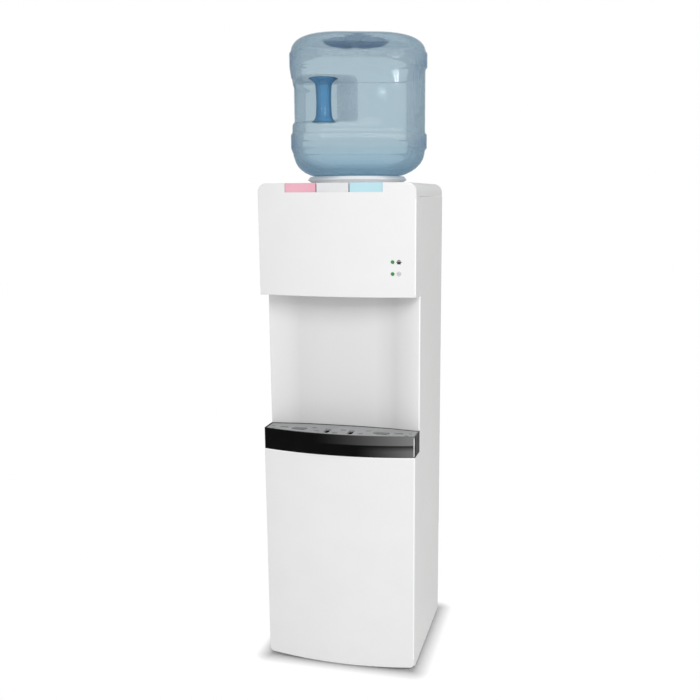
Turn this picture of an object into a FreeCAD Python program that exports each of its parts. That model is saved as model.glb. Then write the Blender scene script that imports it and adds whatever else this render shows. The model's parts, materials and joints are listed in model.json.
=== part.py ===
import FreeCAD, Part
import math
import os
import Sketcher

# A free-standing top-load water cooler with a handled three-gallon bottle.
# Millimetres. X runs to the right, Y to the rear, Z up; the origin is on the floor,
# in the middle of the whole object's outline.

V = FreeCAD.Vector
doc = FreeCAD.newDocument("water_cooler")
sheet = doc.addObject("Spreadsheet::Sheet", "sizes")

SIZES = {
    # Whole object
    "cabinet_width": 308,
    "cabinet_height": 970,
    "overall_depth": 334,
    "condenser_room": 33,
    "foot_height": 8,
    "steel": 1.2,
    "wall": 2.5,
    "reveal": 0.4,
    "running_gap": 0.5,
    "contact_gap": 0.1,
    "overcut": 1,
    "flange": 12,
    # Front: lower panel, drip tray, alcove, fascia
    "tray_bow": 21,
    "panel_bow": 18.5,
    "panel_top": 450,
    "panel_return": 10,
    "panel_corner": 9,
    "edge_round": 2,
    "tray_height": 42,
    "tray_wall": 3,
    "tray_floor": 3,
    "grille_thickness": 4,
    "grille_depth_below_rim": 0.5,
    "grille_row": 12,
    "grille_slot": 5.5,
    "grille_bar": 34,
    "grille_bar_x": 24,
    "grille_drop_x": 50,
    "grille_oval": 38,
    "grille_oval_width": 17,
    "grille_oval_x": 84,
    "grille_oblong": 20,
    "grille_oblong_x": 118,
    "grille_end_x": 138,
    "alcove_side_depth": 44,
    "alcove_knee_depth": 52,
    "alcove_knee": 95,
    "alcove_bow": 3,
    "alcove_return": 13.5,
    "fascia_bottom": 759,
    "fascia_return": 30,
    "fascia_corner": 17,
    "cover_skirt": 25.4,
    "cover_rear_round": 12,
    # Push buttons, their rods, springs and valves
    "button_left": -95,
    "button_pitch": 63.4,
    "button_width": 61.2,
    "button_face": 17,
    "button_skirt": 24,
    "button_depth": 14,
    "button_wall": 2.2,
    "button_travel": 6,
    "lip": 1.6,
    "rod_radius": 3,
    "rod_fit": 0.05,
    "rod_flange_radius": 7,
    "rod_flange": 2,
    "plunger_radius": 4.6,
    "plunger": 10,
    "spring_wire": 1,
    "spring_radius": 5.5,
    "spring_length": 18,
    "spring_turns": 4,
    "spring_clear": 0.02,
    "guide_thickness": 4,
    "guide_rise": 149,
    "valve_advance": 2,
    "valve_radius": 9.5,
    "valve_height": 36,
    "valve_bore": 5,
    "valve_cap": 10,
    "nozzle_radius": 7,
    "nozzle_recess": 1,
    "bracket_rise": 25,
    "barb_radius": 4.5,
    "barb_bore": 3,
    "barb_length": 14,
    "barb_rise": 8,
    "lens_radius": 3.4,
    "lens_gap": 0.1,
    "lens_length": 9,
    "lens_proud": 0.5,
    "lens_inset": 42.7,
    "hot_lens_z": 825.5,
    "cold_lens_z": 803.4,
    "board_thickness": 1.6,
    # Bottle and its seat
    "bottle_setback": 160,
    "bottle_turn": 21,
    "bottle_side": 262,
    "bottle_corner": 56,
    "bottle_wall": 1.5,
    "bottle_height": 266,
    "bottle_shoulder_rise": 34,
    "bottle_shoulder_half": 80,
    "bottle_shoulder_corner": 64,
    "bottle_knuckle_rise": 12,
    "bottle_knuckle_half": 108.5,
    "bottle_dome": 40,
    "bottle_dome_spread": 56,
    "bottle_waist": 7,
    "band_height": 27,
    "lower_band_rise": 51,
    "upper_band_rise": 200,
    "neck_radius": 27.5,
    "neck_length": 24,
    "neck_cone": 22,
    "neck_cone_half": 60,
    "cap_wall": 2,
    "cap_gap": 0.3,
    "cap_height": 20,
    "cap_hole": 7.6,
    "grip_low": 102,
    "grip_high": 177,
    "grip_radius": 112,
    "grip_width": 27,
    "grip_reach": 62,
    "grip_half": 46,
    "grip_bearing": 229,
    "collar_rise": 14,
    "collar_radius": 100,
    "collar_foot_radius": 88,
    "collar_top_radius": 95,
    "collar_mouth": 70,
    "collar_tip": 7.5,
    "collar_wall": 3,
    "funnel_depth": 59,
    "funnel_radius": 36,
    "probe_radius": 7,
    "probe_bore": 4,
    "probe_height": 55,
    "probe_flange_radius": 20,
    "probe_spigot_radius": 11.7,
    # Water tanks
    "tank_radius": 68,
    "tank_wall": 1,
    "tank_height": 165,
    "tank_lip": 6,
    "lid_thickness": 4,
    "baffle_drop": 55,
    "baffle_thickness": 2,
    "coil_wire": 3,
    "coil_turns": 7,
    "coil_clear": 0.15,
    "coil_rise": 60,
    "foam_radius": 92,
    "foam_floor": 12,
    "foam_gap": 0.6,
    "hot_radius": 45,
    "hot_height": 130,
    "hot_drop": 24,
    "hot_foam": 14,
    "hot_y": 6,
    "band_width": 26,
    "band_thickness": 2.5,
    "hose_radius": 4.5,
    "hose_bore": 3,
    "hose_bend": 12,
    # Cooling plant
    "compressor_radius": 60,
    "compressor_height": 150,
    "compressor_dome": 36,
    "compressor_weld_rise": 82.5,
    "compressor_wall": 3,
    "motor_radius": 42,
    "motor_height": 80,
    "compressor_setback": 82,
    "mount_height": 14,
    "mount_radius": 10,
    "mount_span_x": 62,
    "mount_span_y": 44,
    "plate_thickness": 3,
    "pipe_radius": 3,
    "pipe_bend": 14,
    "drier_radius": 9,
    "drier_length": 90,
    # Rear
    "rear_panel_bottom": 215,
    "vent_length": 70,
    "vent_height": 5,
    "vent_pitch": 16,
    "vent_count": 9,
    "condenser_bottom": 272,
    "condenser_pitch": 42,
    "condenser_passes": 16,
    "condenser_inset": 42,
    "condenser_tube": 2.4,
    "condenser_wire": 0.8,
    "wire_count": 26,
    "wire_overhang": 9,
    "service_z": 238,
    "switch_x": -92,
    "switch_pitch": 30,
    "switch_plate_width": 66,
    "switch_plate_height": 34,
    "switch_plate_thickness": 3,
    "rocker_width": 13,
    "rocker_height": 21,
    "rocker_tilt": 9,
    "rocker_gap": 0.6,
    "pivot_proud": 1,
    "gland_x": -20,
    "gland_radius": 9,
    "gland_bore": 4,
    "drain_x": 92,
    "drain_radius": 9,
    "drain_bore": 5,
    "foot_radius": 17,
    "foot_inset": 34,
    "screw_head": 4,
    "screw_shank": 1.9,
}

for row, (alias, value) in enumerate(SIZES.items(), start=1):
    sheet.set("A%d" % row, alias)
    sheet.set("B%d" % row, str(value))
    sheet.setAlias("B%d" % row, alias)
doc.recompute()


class Size:
    """A length held both as a number and as the formula that ties it to the sheet."""

    def __init__(self, value, formula):
        self.value = float(value)
        self.formula = formula

    def join(self, other, sign, value):
        return Size(value, "(%s %s %s)" % (self.formula, sign, other.formula))

    def __add__(self, other):
        other = as_size(other)
        return self.join(other, "+", self.value + other.value)

    def __sub__(self, other):
        other = as_size(other)
        return self.join(other, "-", self.value - other.value)

    def __mul__(self, other):
        other = as_size(other)
        return self.join(other, "*", self.value * other.value)

    def __truediv__(self, other):
        other = as_size(other)
        return self.join(other, "/", self.value / other.value)

    def __radd__(self, other):
        return as_size(other) + self

    def __rsub__(self, other):
        return as_size(other) - self

    def __rmul__(self, other):
        return as_size(other) * self

    def __neg__(self):
        return as_size(0) - self


class Sizes:
    """Gives each named size of the sheet as a Size."""

    def __getattr__(self, alias):
        return Size(sheet.get(alias), "sizes." + alias)


def as_size(thing):
    if isinstance(thing, Size):
        return thing
    return Size(thing, repr(float(thing)))


def root(size):
    return Size(math.sqrt(size.value), "sqrt(%s)" % size.formula)


def bow_radius(half_chord, rise):
    return (half_chord * half_chord + rise * rise) / (rise * 2)


def point(x, y, z):
    return V(as_size(x).value, as_size(y).value, as_size(z).value)


S = Sizes()
nodes = []


def node(label, thing):
    """Registers a finished sub-part under its own label."""
    thing.Label = label
    nodes.append(thing)
    return thing


def bind(thing, field, size):
    thing.setExpression(field, as_size(size).formula)


def place(thing, x, y, z):
    bind(thing, "Placement.Base.x", x)
    bind(thing, "Placement.Base.y", y)
    bind(thing, "Placement.Base.z", z)
    return thing


# Primitives and booleans

TURNS = {
    "x": FreeCAD.Rotation(V(0, 1, 0), 90),
    "y": FreeCAD.Rotation(V(1, 0, 0), -90),
    "z": FreeCAD.Rotation(),
}


def box(x, y, z):
    """A box from three (low, high) spans."""
    solid = doc.addObject("Part::Box", "block")
    for field, span in (("Length", x), ("Width", y), ("Height", z)):
        bind(solid, field, as_size(span[1]) - span[0])
    return place(solid, x[0], y[0], z[0])


def rod(start, radius, length, axis="z"):
    """A round bar that runs from start along one axis."""
    solid = doc.addObject("Part::Cylinder", "bar")
    solid.Placement.Rotation = TURNS[axis]
    bind(solid, "Radius", radius)
    bind(solid, "Height", length)
    return place(solid, *start)


def cut(base, *tools):
    result = doc.addObject("Part::Cut", "cut")
    result.Base = base
    result.Tool = tools[0] if len(tools) == 1 else fuse(*tools)
    return result


def fuse(*solids):
    result = doc.addObject("Part::MultiFuse", "union")
    result.Shapes = list(solids)
    return result


def group(*solids):
    result = doc.addObject("Part::Compound", "group")
    result.Links = list(solids)
    return result


# Bodies with sketches

PLANES = {"top": "XY_Plane", "front": "XZ_Plane", "side": "YZ_Plane"}


def new_body(label):
    return node(label, doc.addObject("PartDesign::Body", label))


def new_sketch(body, plane, offset=0):
    sketch = body.newObject("Sketcher::SketchObject", "outline")
    support = [item for item in body.Origin.OriginFeatures if item.Role == PLANES[plane]][0]
    sketch.AttachmentSupport = [(support, "")]
    sketch.MapMode = "FlatFace"
    bind(sketch, "AttachmentOffset.Base.z", offset)
    return sketch


def fix(sketch, kind, items, size):
    size = as_size(size)
    index = sketch.addConstraint(Sketcher.Constraint(kind, *items, size.value))
    bind(sketch, "Constraints[%d]" % index, size)


def arc_between(start, end, radius):
    """The short arc that swells to the right of its way, or to the left for a negative radius."""
    if radius < 0:
        return arc_between(end, start, -radius)
    chord = end - start
    outward = V(chord.y, -chord.x, 0).normalize()
    rise = radius - math.sqrt(max(radius * radius - chord.Length * chord.Length / 4, 0))
    return Part.Arc(start, (start + end) / 2 + outward * rise, end)


def add_loop(sketch, corners):
    """A closed loop: each corner is (across, up) or, where an arc leaves it, (across, up, radius)."""
    spots = [point(corner[0], corner[1], 0) for corner in corners]
    first = sketch.GeometryCount
    ends = []
    for index, corner in enumerate(corners):
        start = spots[index]
        end = spots[(index + 1) % len(spots)]
        if len(corner) == 2:
            sketch.addGeometry(Part.LineSegment(start, end))
            ends.append((1, 2))
        else:
            sketch.addGeometry(arc_between(start, end, as_size(corner[2]).value))
            size = as_size(corner[2])
            ends.append((1, 2) if size.value > 0 else (2, 1))
            fix(sketch, "Radius", (first + index,), size if size.value > 0 else -size)
    for index, corner in enumerate(corners):
        after = (index + 1) % len(corners)
        joint = (first + index, ends[index][1], first + after, ends[after][0])
        sketch.addConstraint(Sketcher.Constraint("Coincident", *joint))
        fix(sketch, "DistanceX", (-1, 1, first + index, ends[index][0]), corner[0])
        fix(sketch, "DistanceY", (-1, 1, first + index, ends[index][0]), corner[1])


def add_circle(sketch, across, up, radius):
    index = sketch.addGeometry(Part.Circle(point(across, up, 0), V(0, 0, 1), as_size(radius).value))
    fix(sketch, "Radius", (index,), radius)
    fix(sketch, "DistanceX", (-1, 1, index, 3), across)
    fix(sketch, "DistanceY", (-1, 1, index, 3), up)


def pad(body, sketch, length, backward=False):
    feature = body.newObject("PartDesign::Pad", "pad")
    feature.Profile = sketch
    feature.Reversed = backward
    bind(feature, "Length", length)
    doc.recompute()
    return feature


def pocket(body, sketch, length, forward=False):
    """Cuts below the sketch, or above it when forward, and proves that it cut something."""
    before = body.Shape.Volume
    feature = body.newObject("PartDesign::Pocket", "pocket")
    feature.Profile = sketch
    feature.Reversed = forward
    bind(feature, "Length", length)
    doc.recompute()
    if body.Shape.Volume >= before - 1e-6:
        raise RuntimeError("a pocket of %s cuts nothing" % body.Label)
    return feature


def turn(body, corners):
    """A solid of revolution about the body's Z axis, from corners (radius, height)."""
    sketch = new_sketch(body, "front")
    add_loop(sketch, corners)
    feature = body.newObject("PartDesign::Revolution", "turned")
    feature.Profile = sketch
    feature.ReferenceAxis = (sketch, ["V_Axis"])
    feature.Angle = 360
    doc.recompute()
    return feature


def fillet(body, radius, chosen):
    """Rounds the edges that chosen(edge) picks on the body as it stands."""
    names = ["Edge%d" % (i + 1) for i, edge in enumerate(body.Shape.Edges) if chosen(edge)]
    if not names:
        raise RuntimeError("no edge to round on %s" % body.Label)
    base = body.Tip
    feature = body.newObject("PartDesign::Fillet", "fillet")
    feature.Base = (base, names)
    bind(feature, "Radius", radius)
    doc.recompute()
    return feature


# Driving planes and shared places

half = S.cabinet_width / 2
front = S.tray_bow - S.overall_depth / 2
rear = S.overall_depth / 2 - S.condenser_room
ground = S.foot_height
compressor_y = rear - S.compressor_setback
condenser_half = half - S.condenser_inset
lens_x = half - S.lens_inset
top = S.cabinet_height
cover_z = top - S.cover_skirt
tray_z = S.panel_top
tray_top = tray_z + S.tray_height
alcove_top = S.fascia_bottom
axis_y = front + S.bottle_setback
inner_half = half - S.steel - S.reveal
bow_R = bow_radius(half, S.panel_bow)
tray_R = bow_radius(half, S.tray_bow)


def along(edge, direction):
    """True for a straight edge that runs along one axis."""
    if not isinstance(edge.Curve, Part.Line):
        return False
    return abs(edge.tangentAt(edge.FirstParameter).dot(direction)) > 0.9999


def middle(edge):
    return edge.BoundBox.Center


def near(value, size, slack=0.05):
    return abs(value - as_size(size).value) < slack


def bow_y(x, setback):
    """The bowed front surface at x, moved back by setback."""
    return front + setback - S.panel_bow + bow_R - root(bow_R * bow_R - as_size(x) * x)


def d_outline(inset, radius, back):
    """A bowed front, two sides and a straight back."""
    edge = half - inset
    start = front + inset
    return [(-edge, start, radius), (edge, start), (edge, back), (-edge, back)]


def bowed_pan(label, low, high, depth, low_corner, high_corner):
    """A shell with a bowed front, open to the rear, and two rounded corners at either end."""
    body = new_body(label)
    block = new_sketch(body, "top", low)
    add_loop(block, d_outline(as_size(0), bow_R, front + depth))
    pad(body, block, high - low)
    cavity = new_sketch(body, "top", low + S.wall)
    add_loop(cavity, d_outline(S.wall, bow_R, front + depth + S.overcut))
    pocket(body, cavity, high - low - S.wall * 2, forward=True)
    for level, inward, radius in ((low, S.wall, low_corner), (high, -S.wall, high_corner)):
        if radius is not None:
            round_along_y(body, level + inward, radius - S.wall)
            round_along_y(body, level, radius)

    def on_front_rim(edge):
        area = edge.BoundBox
        outermost = near(area.XMax, half) or near(area.XMin, -half)
        outermost = outermost or near(area.ZMax, high) or near(area.ZMin, low)
        ahead = area.YMin < (front + S.contact_gap).value
        return ahead and outermost and not along(edge, V(0, 1, 0))

    fillet(body, S.edge_round, on_front_rim)
    return body


def round_along_y(body, level, radius):
    fillet(body, radius, lambda e: along(e, V(0, 1, 0)) and near(middle(e).z, level))


# Cabinet

def side_panel(label, side):
    """A folded steel side: full depth below the tray, stepped back at the alcove."""
    body = new_body(label)
    low_y = front + S.panel_return + S.reveal
    step_y = front + S.alcove_side_depth + S.alcove_return + S.reveal
    high_y = front + S.fascia_return + S.reveal

    def corners(inset):
        step_z = S.panel_top - S.reveal - inset
        return [
            (low_y + inset, ground + inset),
            (rear - S.steel - S.reveal - inset, ground + inset),
            (rear - S.steel - S.reveal - inset, cover_z - S.reveal - inset),
            (high_y + inset, cover_z - S.reveal - inset),
            (high_y + inset, alcove_top + inset),
            (step_y + inset, alcove_top + inset),
            (step_y + inset, step_z),
            (low_y + inset, step_z),
        ]

    skin = new_sketch(body, "side", side * half)
    add_loop(skin, corners(as_size(0)))
    pad(body, skin, S.flange, backward=side > 0)
    inside = new_sketch(body, "side", side * (half - S.flange))
    add_loop(inside, corners(S.steel))
    pocket(body, inside, S.flange - S.steel, forward=side > 0)
    return body


def make_base_plate():
    """A folded pan that the side panels, the feet and the compressor stand on."""
    body = new_body("base_plate")
    low = ground + S.steel
    gap = S.reveal
    y0 = front + S.panel_return + S.steel + gap * 2
    y1 = rear - S.steel * 2 - gap * 2
    x1 = half - S.steel - gap
    outer = new_sketch(body, "top", low)
    add_loop(outer, [(-x1, y0), (x1, y0), (x1, y1), (-x1, y1)])
    pad(body, outer, S.flange)
    inner = new_sketch(body, "top", low + S.steel)
    t = S.steel
    add_loop(inner, [(-x1 + t, y0 + t), (x1 - t, y0 + t), (x1 - t, y1 - t), (-x1 + t, y1 - t)])
    pocket(body, inner, S.flange, forward=True)
    holes = new_sketch(body, "top", low + S.steel * 2)
    for x, y in foot_places():
        add_circle(holes, x, y, S.foot_radius / 4 + S.cap_gap)
    pocket(body, holes, S.steel * 3)
    return body


def foot_places():
    across = half - S.foot_inset
    near_y = front + S.foot_inset
    far_y = rear - S.foot_inset
    return [(-across, near_y), (across, near_y), (-across, far_y), (across, far_y)]


def make_feet():
    """Four rubber feet, one group of separate solids, pushed through the base plate."""
    seat = ground + S.steel
    stem = S.foot_radius / 4
    plate_top = seat + S.steel
    feet = []
    for x, y in foot_places():
        foot = doc.addObject("PartDesign::Body", "foot")
        turn(foot, [
            (0, 0), (S.foot_radius - S.edge_round, 0), (S.foot_radius, S.edge_round),
            (S.foot_radius - S.edge_round, seat), (stem, seat), (stem, plate_top),
            (stem + S.steel, plate_top), (stem, plate_top + S.foot_height),
            (0, plate_top + S.foot_height)])
        feet.append(place(foot, x, y, 0))
    return node("rubber_feet", group(*feet))


def make_rear_panel():
    """A flat steel back with louvre slots and cut-outs for the service fittings."""
    body = new_body("rear_panel")
    low = S.rear_panel_bottom
    skin = new_sketch(body, "front", -rear)
    add_loop(skin, [(-half, low), (half, low), (half, cover_z - S.reveal), (-half, cover_z - S.reveal)])
    pad(body, skin, S.steel)
    services = new_sketch(body, "front", -rear)
    w = S.switch_plate_width / 2 - S.switch_plate_thickness
    h = S.rocker_height / 2 + S.rocker_gap * 3
    z = S.service_z
    add_loop(services, [
        (S.switch_x - w, z - h), (S.switch_x + w, z - h),
        (S.switch_x + w, z + h), (S.switch_x - w, z + h)])
    add_circle(services, S.gland_x, z, S.gland_radius)
    add_circle(services, S.drain_x, z, S.drain_radius)
    pocket(body, services, S.steel * 3, forward=True)
    louvres = new_sketch(body, "front", -rear)
    first = cover_z - S.vent_pitch * 3
    reach = S.vent_length / 2
    for side in (-1, 1):
        x = side * half / 2
        add_loop(louvres, [
            (x - reach, first), (x + reach, first),
            (x + reach, first + S.vent_height), (x - reach, first + S.vent_height)])
    slots = pocket(body, louvres, S.steel * 3, forward=True)
    rows = body.newObject("PartDesign::LinearPattern", "rows")
    rows.Originals = [slots]
    rows.Direction = (louvres, ["V_Axis"])
    rows.Reversed = True
    bind(rows, "Length", S.vent_pitch * (S.vent_count - 1))
    bind(rows, "Occurrences", S.vent_count)
    body.Tip = rows
    doc.recompute()
    return body


def make_top_cover():
    """The moulded lid behind the fascia, with a round hole for the bottle seat."""
    body = new_body("top_cover")
    y0 = front + S.fascia_return + S.reveal
    skin = new_sketch(body, "top", cover_z)
    add_loop(skin, [(-half, y0), (half, y0), (half, rear), (-half, rear)])
    pad(body, skin, S.cover_skirt)
    w = S.wall
    cavity = new_sketch(body, "top", cover_z)
    add_loop(cavity, [(w - half, y0 + w), (half - w, y0 + w), (half - w, rear - w), (w - half, rear - w)])
    pocket(body, cavity, S.cover_skirt - w, forward=True)
    round_along_y(body, top - w, S.fascia_corner - w)
    round_along_y(body, top, S.fascia_corner)
    upper = (top - S.fascia_corner - S.overcut).value
    fillet(body, S.edge_round * 2, lambda e: near(e.BoundBox.YMin, rear) and middle(e).z > upper)
    hole = new_sketch(body, "top", top + S.wall)
    add_circle(hole, 0, axis_y, S.collar_foot_radius - S.collar_wall * 2)
    pocket(body, hole, S.wall * 3)
    return body


# Front

def make_front_fascia():
    """The bowed upper front, with the button opening, lens holes and the alcove's ceiling."""
    body = bowed_pan("front_fascia", alcove_top, top, S.fascia_return, None, S.fascia_corner)
    tongue = new_sketch(body, "top", alcove_top)
    x1 = half - S.flange - S.reveal
    y0 = front + S.fascia_return - S.wall
    y1 = front + S.alcove_knee_depth + S.alcove_bow - S.flange - S.reveal
    add_loop(tongue, [(-x1, y0), (x1, y0), (x1, y1), (-x1, y1)])
    pad(body, tongue, S.wall)
    left = S.button_left - S.running_gap
    right = S.button_left + S.button_pitch * 2 + S.button_width + S.running_gap
    back = front + S.button_depth
    ahead = bow_y(0, 0) - S.wall
    keys = new_sketch(body, "top", top - S.button_face)
    add_loop(keys, [(left, ahead), (right, ahead), (right, back), (left, back)])
    pocket(body, keys, S.button_face + S.overcut, forward=True)
    lip = new_sketch(body, "top", top - S.button_skirt - S.button_travel - S.overcut)
    add_loop(lip, [
        (left, bow_y(left, S.lip), bow_R), (right, bow_y(right, S.lip)), (right, back), (left, back)])
    pocket(body, lip, S.button_skirt + S.button_travel, forward=True)
    spouts = new_sketch(body, "top", alcove_top)
    for x in valve_places():
        add_circle(spouts, x, front - S.valve_advance, S.nozzle_radius + S.nozzle_recess)
    pocket(body, spouts, S.wall * 2, forward=True)
    lenses = new_sketch(body, "front", -ahead)
    for z in (S.hot_lens_z, S.cold_lens_z):
        add_circle(lenses, lens_x, z, S.lens_radius + S.lens_gap)
    pocket(body, lenses, S.fascia_return, forward=False)
    return body


def valve_places():
    first = S.button_left + S.button_width / 2
    return [first + S.button_pitch * index for index in range(3)]


def make_alcove_liner():
    """The shallow recess under the fascia: a gently curved back with folded sides."""
    body = new_body("alcove_liner")
    side_y = front + S.alcove_side_depth
    knee_y = front + S.alcove_knee_depth
    back_y = side_y + S.alcove_return
    knee = S.alcove_knee
    w = S.wall
    face_R = bow_radius(knee, S.alcove_bow)
    skin = new_sketch(body, "top", tray_z - S.reveal)
    add_loop(skin, [
        (-half, back_y), (-half, side_y), (-knee, knee_y, -face_R), (knee, knee_y), (half, side_y),
        (half, back_y), (half - w, back_y), (half - w, side_y + w), (knee, knee_y + w, face_R),
        (-knee, knee_y + w), (w - half, side_y + w), (w - half, back_y)])
    pad(body, skin, alcove_top - tray_z)
    deck = new_sketch(body, "top", tray_z - S.reveal - w)
    x1 = half - S.flange - S.reveal
    y0 = front + S.panel_return + S.reveal
    add_loop(deck, [(-x1, y0), (x1, y0), (x1, side_y + w), (-x1, side_y + w)])
    pad(body, deck, w)
    corner = lambda e: along(e, V(0, 0, 1)) and near(abs(middle(e).x), half) and near(middle(e).y, side_y)
    fillet(body, S.edge_round, corner)
    return body


def make_lower_front_panel():
    low = ground
    high = tray_z - S.reveal
    return bowed_pan("lower_front_panel", low, high, S.panel_return, S.panel_corner, None)


def tray_back(inset):
    """The tray's rear edge follows the alcove, clear of it by the running gap."""
    gap = S.running_gap + inset
    return [
        (half - inset, front + S.alcove_side_depth - gap),
        (S.alcove_knee, front + S.alcove_knee_depth - gap, bow_radius(S.alcove_knee, S.alcove_bow)),
        (-S.alcove_knee, front + S.alcove_knee_depth - gap),
        (inset - half, front + S.alcove_side_depth - gap),
    ]


def tray_outline(inset):
    return [(inset - half, front + inset, tray_R), (half - inset, front + inset)] + tray_back(inset)


def make_drip_tray():
    body = new_body("drip_tray")
    shell = new_sketch(body, "top", tray_z)
    add_loop(shell, tray_outline(as_size(0)))
    pad(body, shell, S.tray_height)
    corner = lambda e: along(e, V(0, 0, 1)) and near(middle(e).y, front)
    fillet(body, S.edge_round * 2, corner)
    basin = new_sketch(body, "top", tray_z + S.tray_floor)
    add_loop(basin, tray_outline(S.tray_wall * 2))
    pocket(body, basin, S.tray_height, forward=True)
    ledge = new_sketch(body, "top", tray_top - S.grille_thickness - S.grille_depth_below_rim)
    add_loop(ledge, tray_outline(S.tray_wall))
    pocket(body, ledge, S.tray_height, forward=True)
    return body


def add_slot(sketch, x, y, length, width):
    """A slot with curved ends that runs from front to rear."""
    w = width / 2
    reach = (length - width) / 2
    bulge = w * 1.05
    add_loop(sketch, [
        (x - w, y + reach), (x - w, y - reach, bulge), (x + w, y - reach), (x + w, y + reach, bulge)])


def add_oval(sketch, x, y, length, width):
    """A slot with curved ends that runs from left to right."""
    w = width / 2
    reach = (length - width) / 2
    bulge = w * 1.05
    add_loop(sketch, [
        (x - reach, y - w), (x + reach, y - w, bulge), (x + reach, y + w), (x - reach, y + w, bulge)])


def make_drip_grille():
    """A grille with big ovals, bars and small drops, alike on both sides of the middle."""
    body = new_body("drip_grille")
    low = tray_top - S.grille_thickness - S.grille_depth_below_rim
    plate = new_sketch(body, "top", low)
    add_loop(plate, tray_outline(S.tray_wall + S.running_gap))
    pad(body, plate, S.grille_thickness)
    row = front + S.grille_row
    w = S.grille_slot
    centre = new_sketch(body, "top", low)
    for step in (-1, 1):
        add_oval(centre, w * step, row - w + w * 2.2 * step, w * 2.8, w * 1.4)
    pocket(body, centre, S.grille_thickness * 2, forward=True)
    holes = new_sketch(body, "top", low)
    add_slot(holes, S.grille_bar_x, row - w, S.grille_bar, w * 2)
    add_oval(holes, S.grille_oval_x, row, S.grille_oval, S.grille_oval_width)
    add_oval(holes, S.grille_oblong_x, row + w, S.grille_oblong, w * 1.6)
    for step in (-1, 1):
        add_oval(holes, S.grille_drop_x + w * step, row + w * 2 * step, w * 2.4, w * 1.2)
        add_oval(holes, S.grille_end_x + w * step / 2, row + w * 1.5 * step, w * 1.8, w)
    right_side = pocket(body, holes, S.grille_thickness * 2, forward=True)
    before = body.Shape.Volume
    both = body.newObject("PartDesign::Mirrored", "both_sides")
    both.Originals = [right_side]
    both.MirrorPlane = (holes, ["V_Axis"])
    body.Tip = both
    doc.recompute()
    if body.Shape.Volume >= before:
        raise RuntimeError("the grille's holes aren't mirrored")
    return body


# Buttons, rods, springs and valves

FLAVOURS = ("hot", "room", "cold")


def make_button(name, index):
    """A push key: a bowed face that slides down behind the fascia's lip."""
    body = new_body(name + "_button")
    left = S.button_left + S.button_pitch * index
    right = left + S.button_width
    setback = S.lip + S.running_gap
    back = front + S.button_depth - S.running_gap
    low = top - S.button_skirt
    block = new_sketch(body, "top", low)
    add_loop(block, [
        (left, bow_y(left, setback), bow_R), (right, bow_y(right, setback)), (right, back), (left, back)])
    pad(body, block, S.button_skirt)
    fillet(body, S.edge_round / 2, lambda e: near(e.BoundBox.ZMin, top) and near(e.BoundBox.ZMax, top))
    w = S.button_wall
    cavity = new_sketch(body, "top", low)
    add_loop(cavity, [
        (left + w, bow_y(left + w, setback + w), bow_R), (right - w, bow_y(right - w, setback + w)),
        (right - w, back - w), (left + w, back - w)])
    pocket(body, cavity, S.button_skirt - w, forward=True)
    return body


valve_y = front - S.valve_advance
hot_x, room_x, cold_x = valve_places()
nozzle_z = alcove_top + S.nozzle_recess
valve_seat = alcove_top + S.bracket_rise
guide_top = valve_seat + S.steel + S.guide_rise
rod_flange_z = guide_top + S.spring_length
button_roof = top - S.button_wall


def make_push_rod(name, x):
    """The rod under a button: a spring flange half way and a plunger in the valve."""
    body = new_body(name + "_push_rod")
    r = S.rod_radius
    low = valve_seat + S.steel + S.valve_cap
    turn(body, [
        (0, low), (S.plunger_radius, low), (S.plunger_radius, low + S.plunger), (r, low + S.plunger),
        (r, rod_flange_z), (S.rod_flange_radius, rod_flange_z),
        (S.rod_flange_radius, rod_flange_z + S.rod_flange), (r, rod_flange_z + S.rod_flange),
        (r, button_roof), (0, button_roof)])
    place(body, x, valve_y, 0)
    return body


def round_spot(radius, bearing, z):
    """A point on a round path, at a bearing in radians from +X."""
    return V(radius * math.cos(bearing), radius * math.sin(bearing), z)


def wound(label, radius, turns, rise, wire):
    """A round wire wound up the Z axis, with its path's centre at the radius."""
    steps = 12 * int(turns)
    spots = []
    for step in range(steps + 1):
        part = step / steps
        spots.append(round_spot(radius, math.tau * turns * part, rise * part))
    curve = Part.BSplineCurve()
    curve.interpolate(spots)
    start = curve.tangent(curve.FirstParameter)[0]
    section = Part.Wire(Part.makeCircle(wire, spots[0], start))
    coil = doc.addObject("Part::Feature", label)
    coil.Shape = Part.Wire(curve.toShape()).makePipeShell([section], True, False)
    return coil


def make_spring(name, x):
    """A return spring of round wire between the guide and the rod's flange."""
    wire = S.spring_wire.value / 2
    clear = S.spring_clear.value
    rise = S.spring_length.value - 2 * (wire + clear)
    coil = wound(name + "_spring", S.spring_radius.value, S.spring_turns.value, rise, wire)
    place(coil, x, valve_y, guide_top + wire + clear)
    return node(name + "_return_spring", coil)


def make_valve(name, x):
    """A dispensing valve: a round body, a spout below and a hose barb behind."""
    low = valve_seat + S.steel
    high = low + S.valve_height
    bore_top = high - S.valve_cap / 2
    body = rod((x, valve_y, low), S.valve_radius, S.valve_height)
    spout = rod((x, valve_y, nozzle_z), S.nozzle_radius, low - nozzle_z)
    barb = rod((x, valve_y, low + S.barb_rise), S.barb_radius, S.valve_radius + S.barb_length, "y")
    bore = rod((x, valve_y, nozzle_z), S.valve_bore, bore_top - nozzle_z)
    guide = rod((x, valve_y, bore_top), S.rod_radius + S.rod_fit, S.valve_cap)
    inlet = rod((x, valve_y, low + S.barb_rise), S.barb_bore, S.valve_radius + S.barb_length, "y")
    return node(name + "_valve", cut(fuse(body, spout, barb), bore, guide, inlet))


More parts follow.
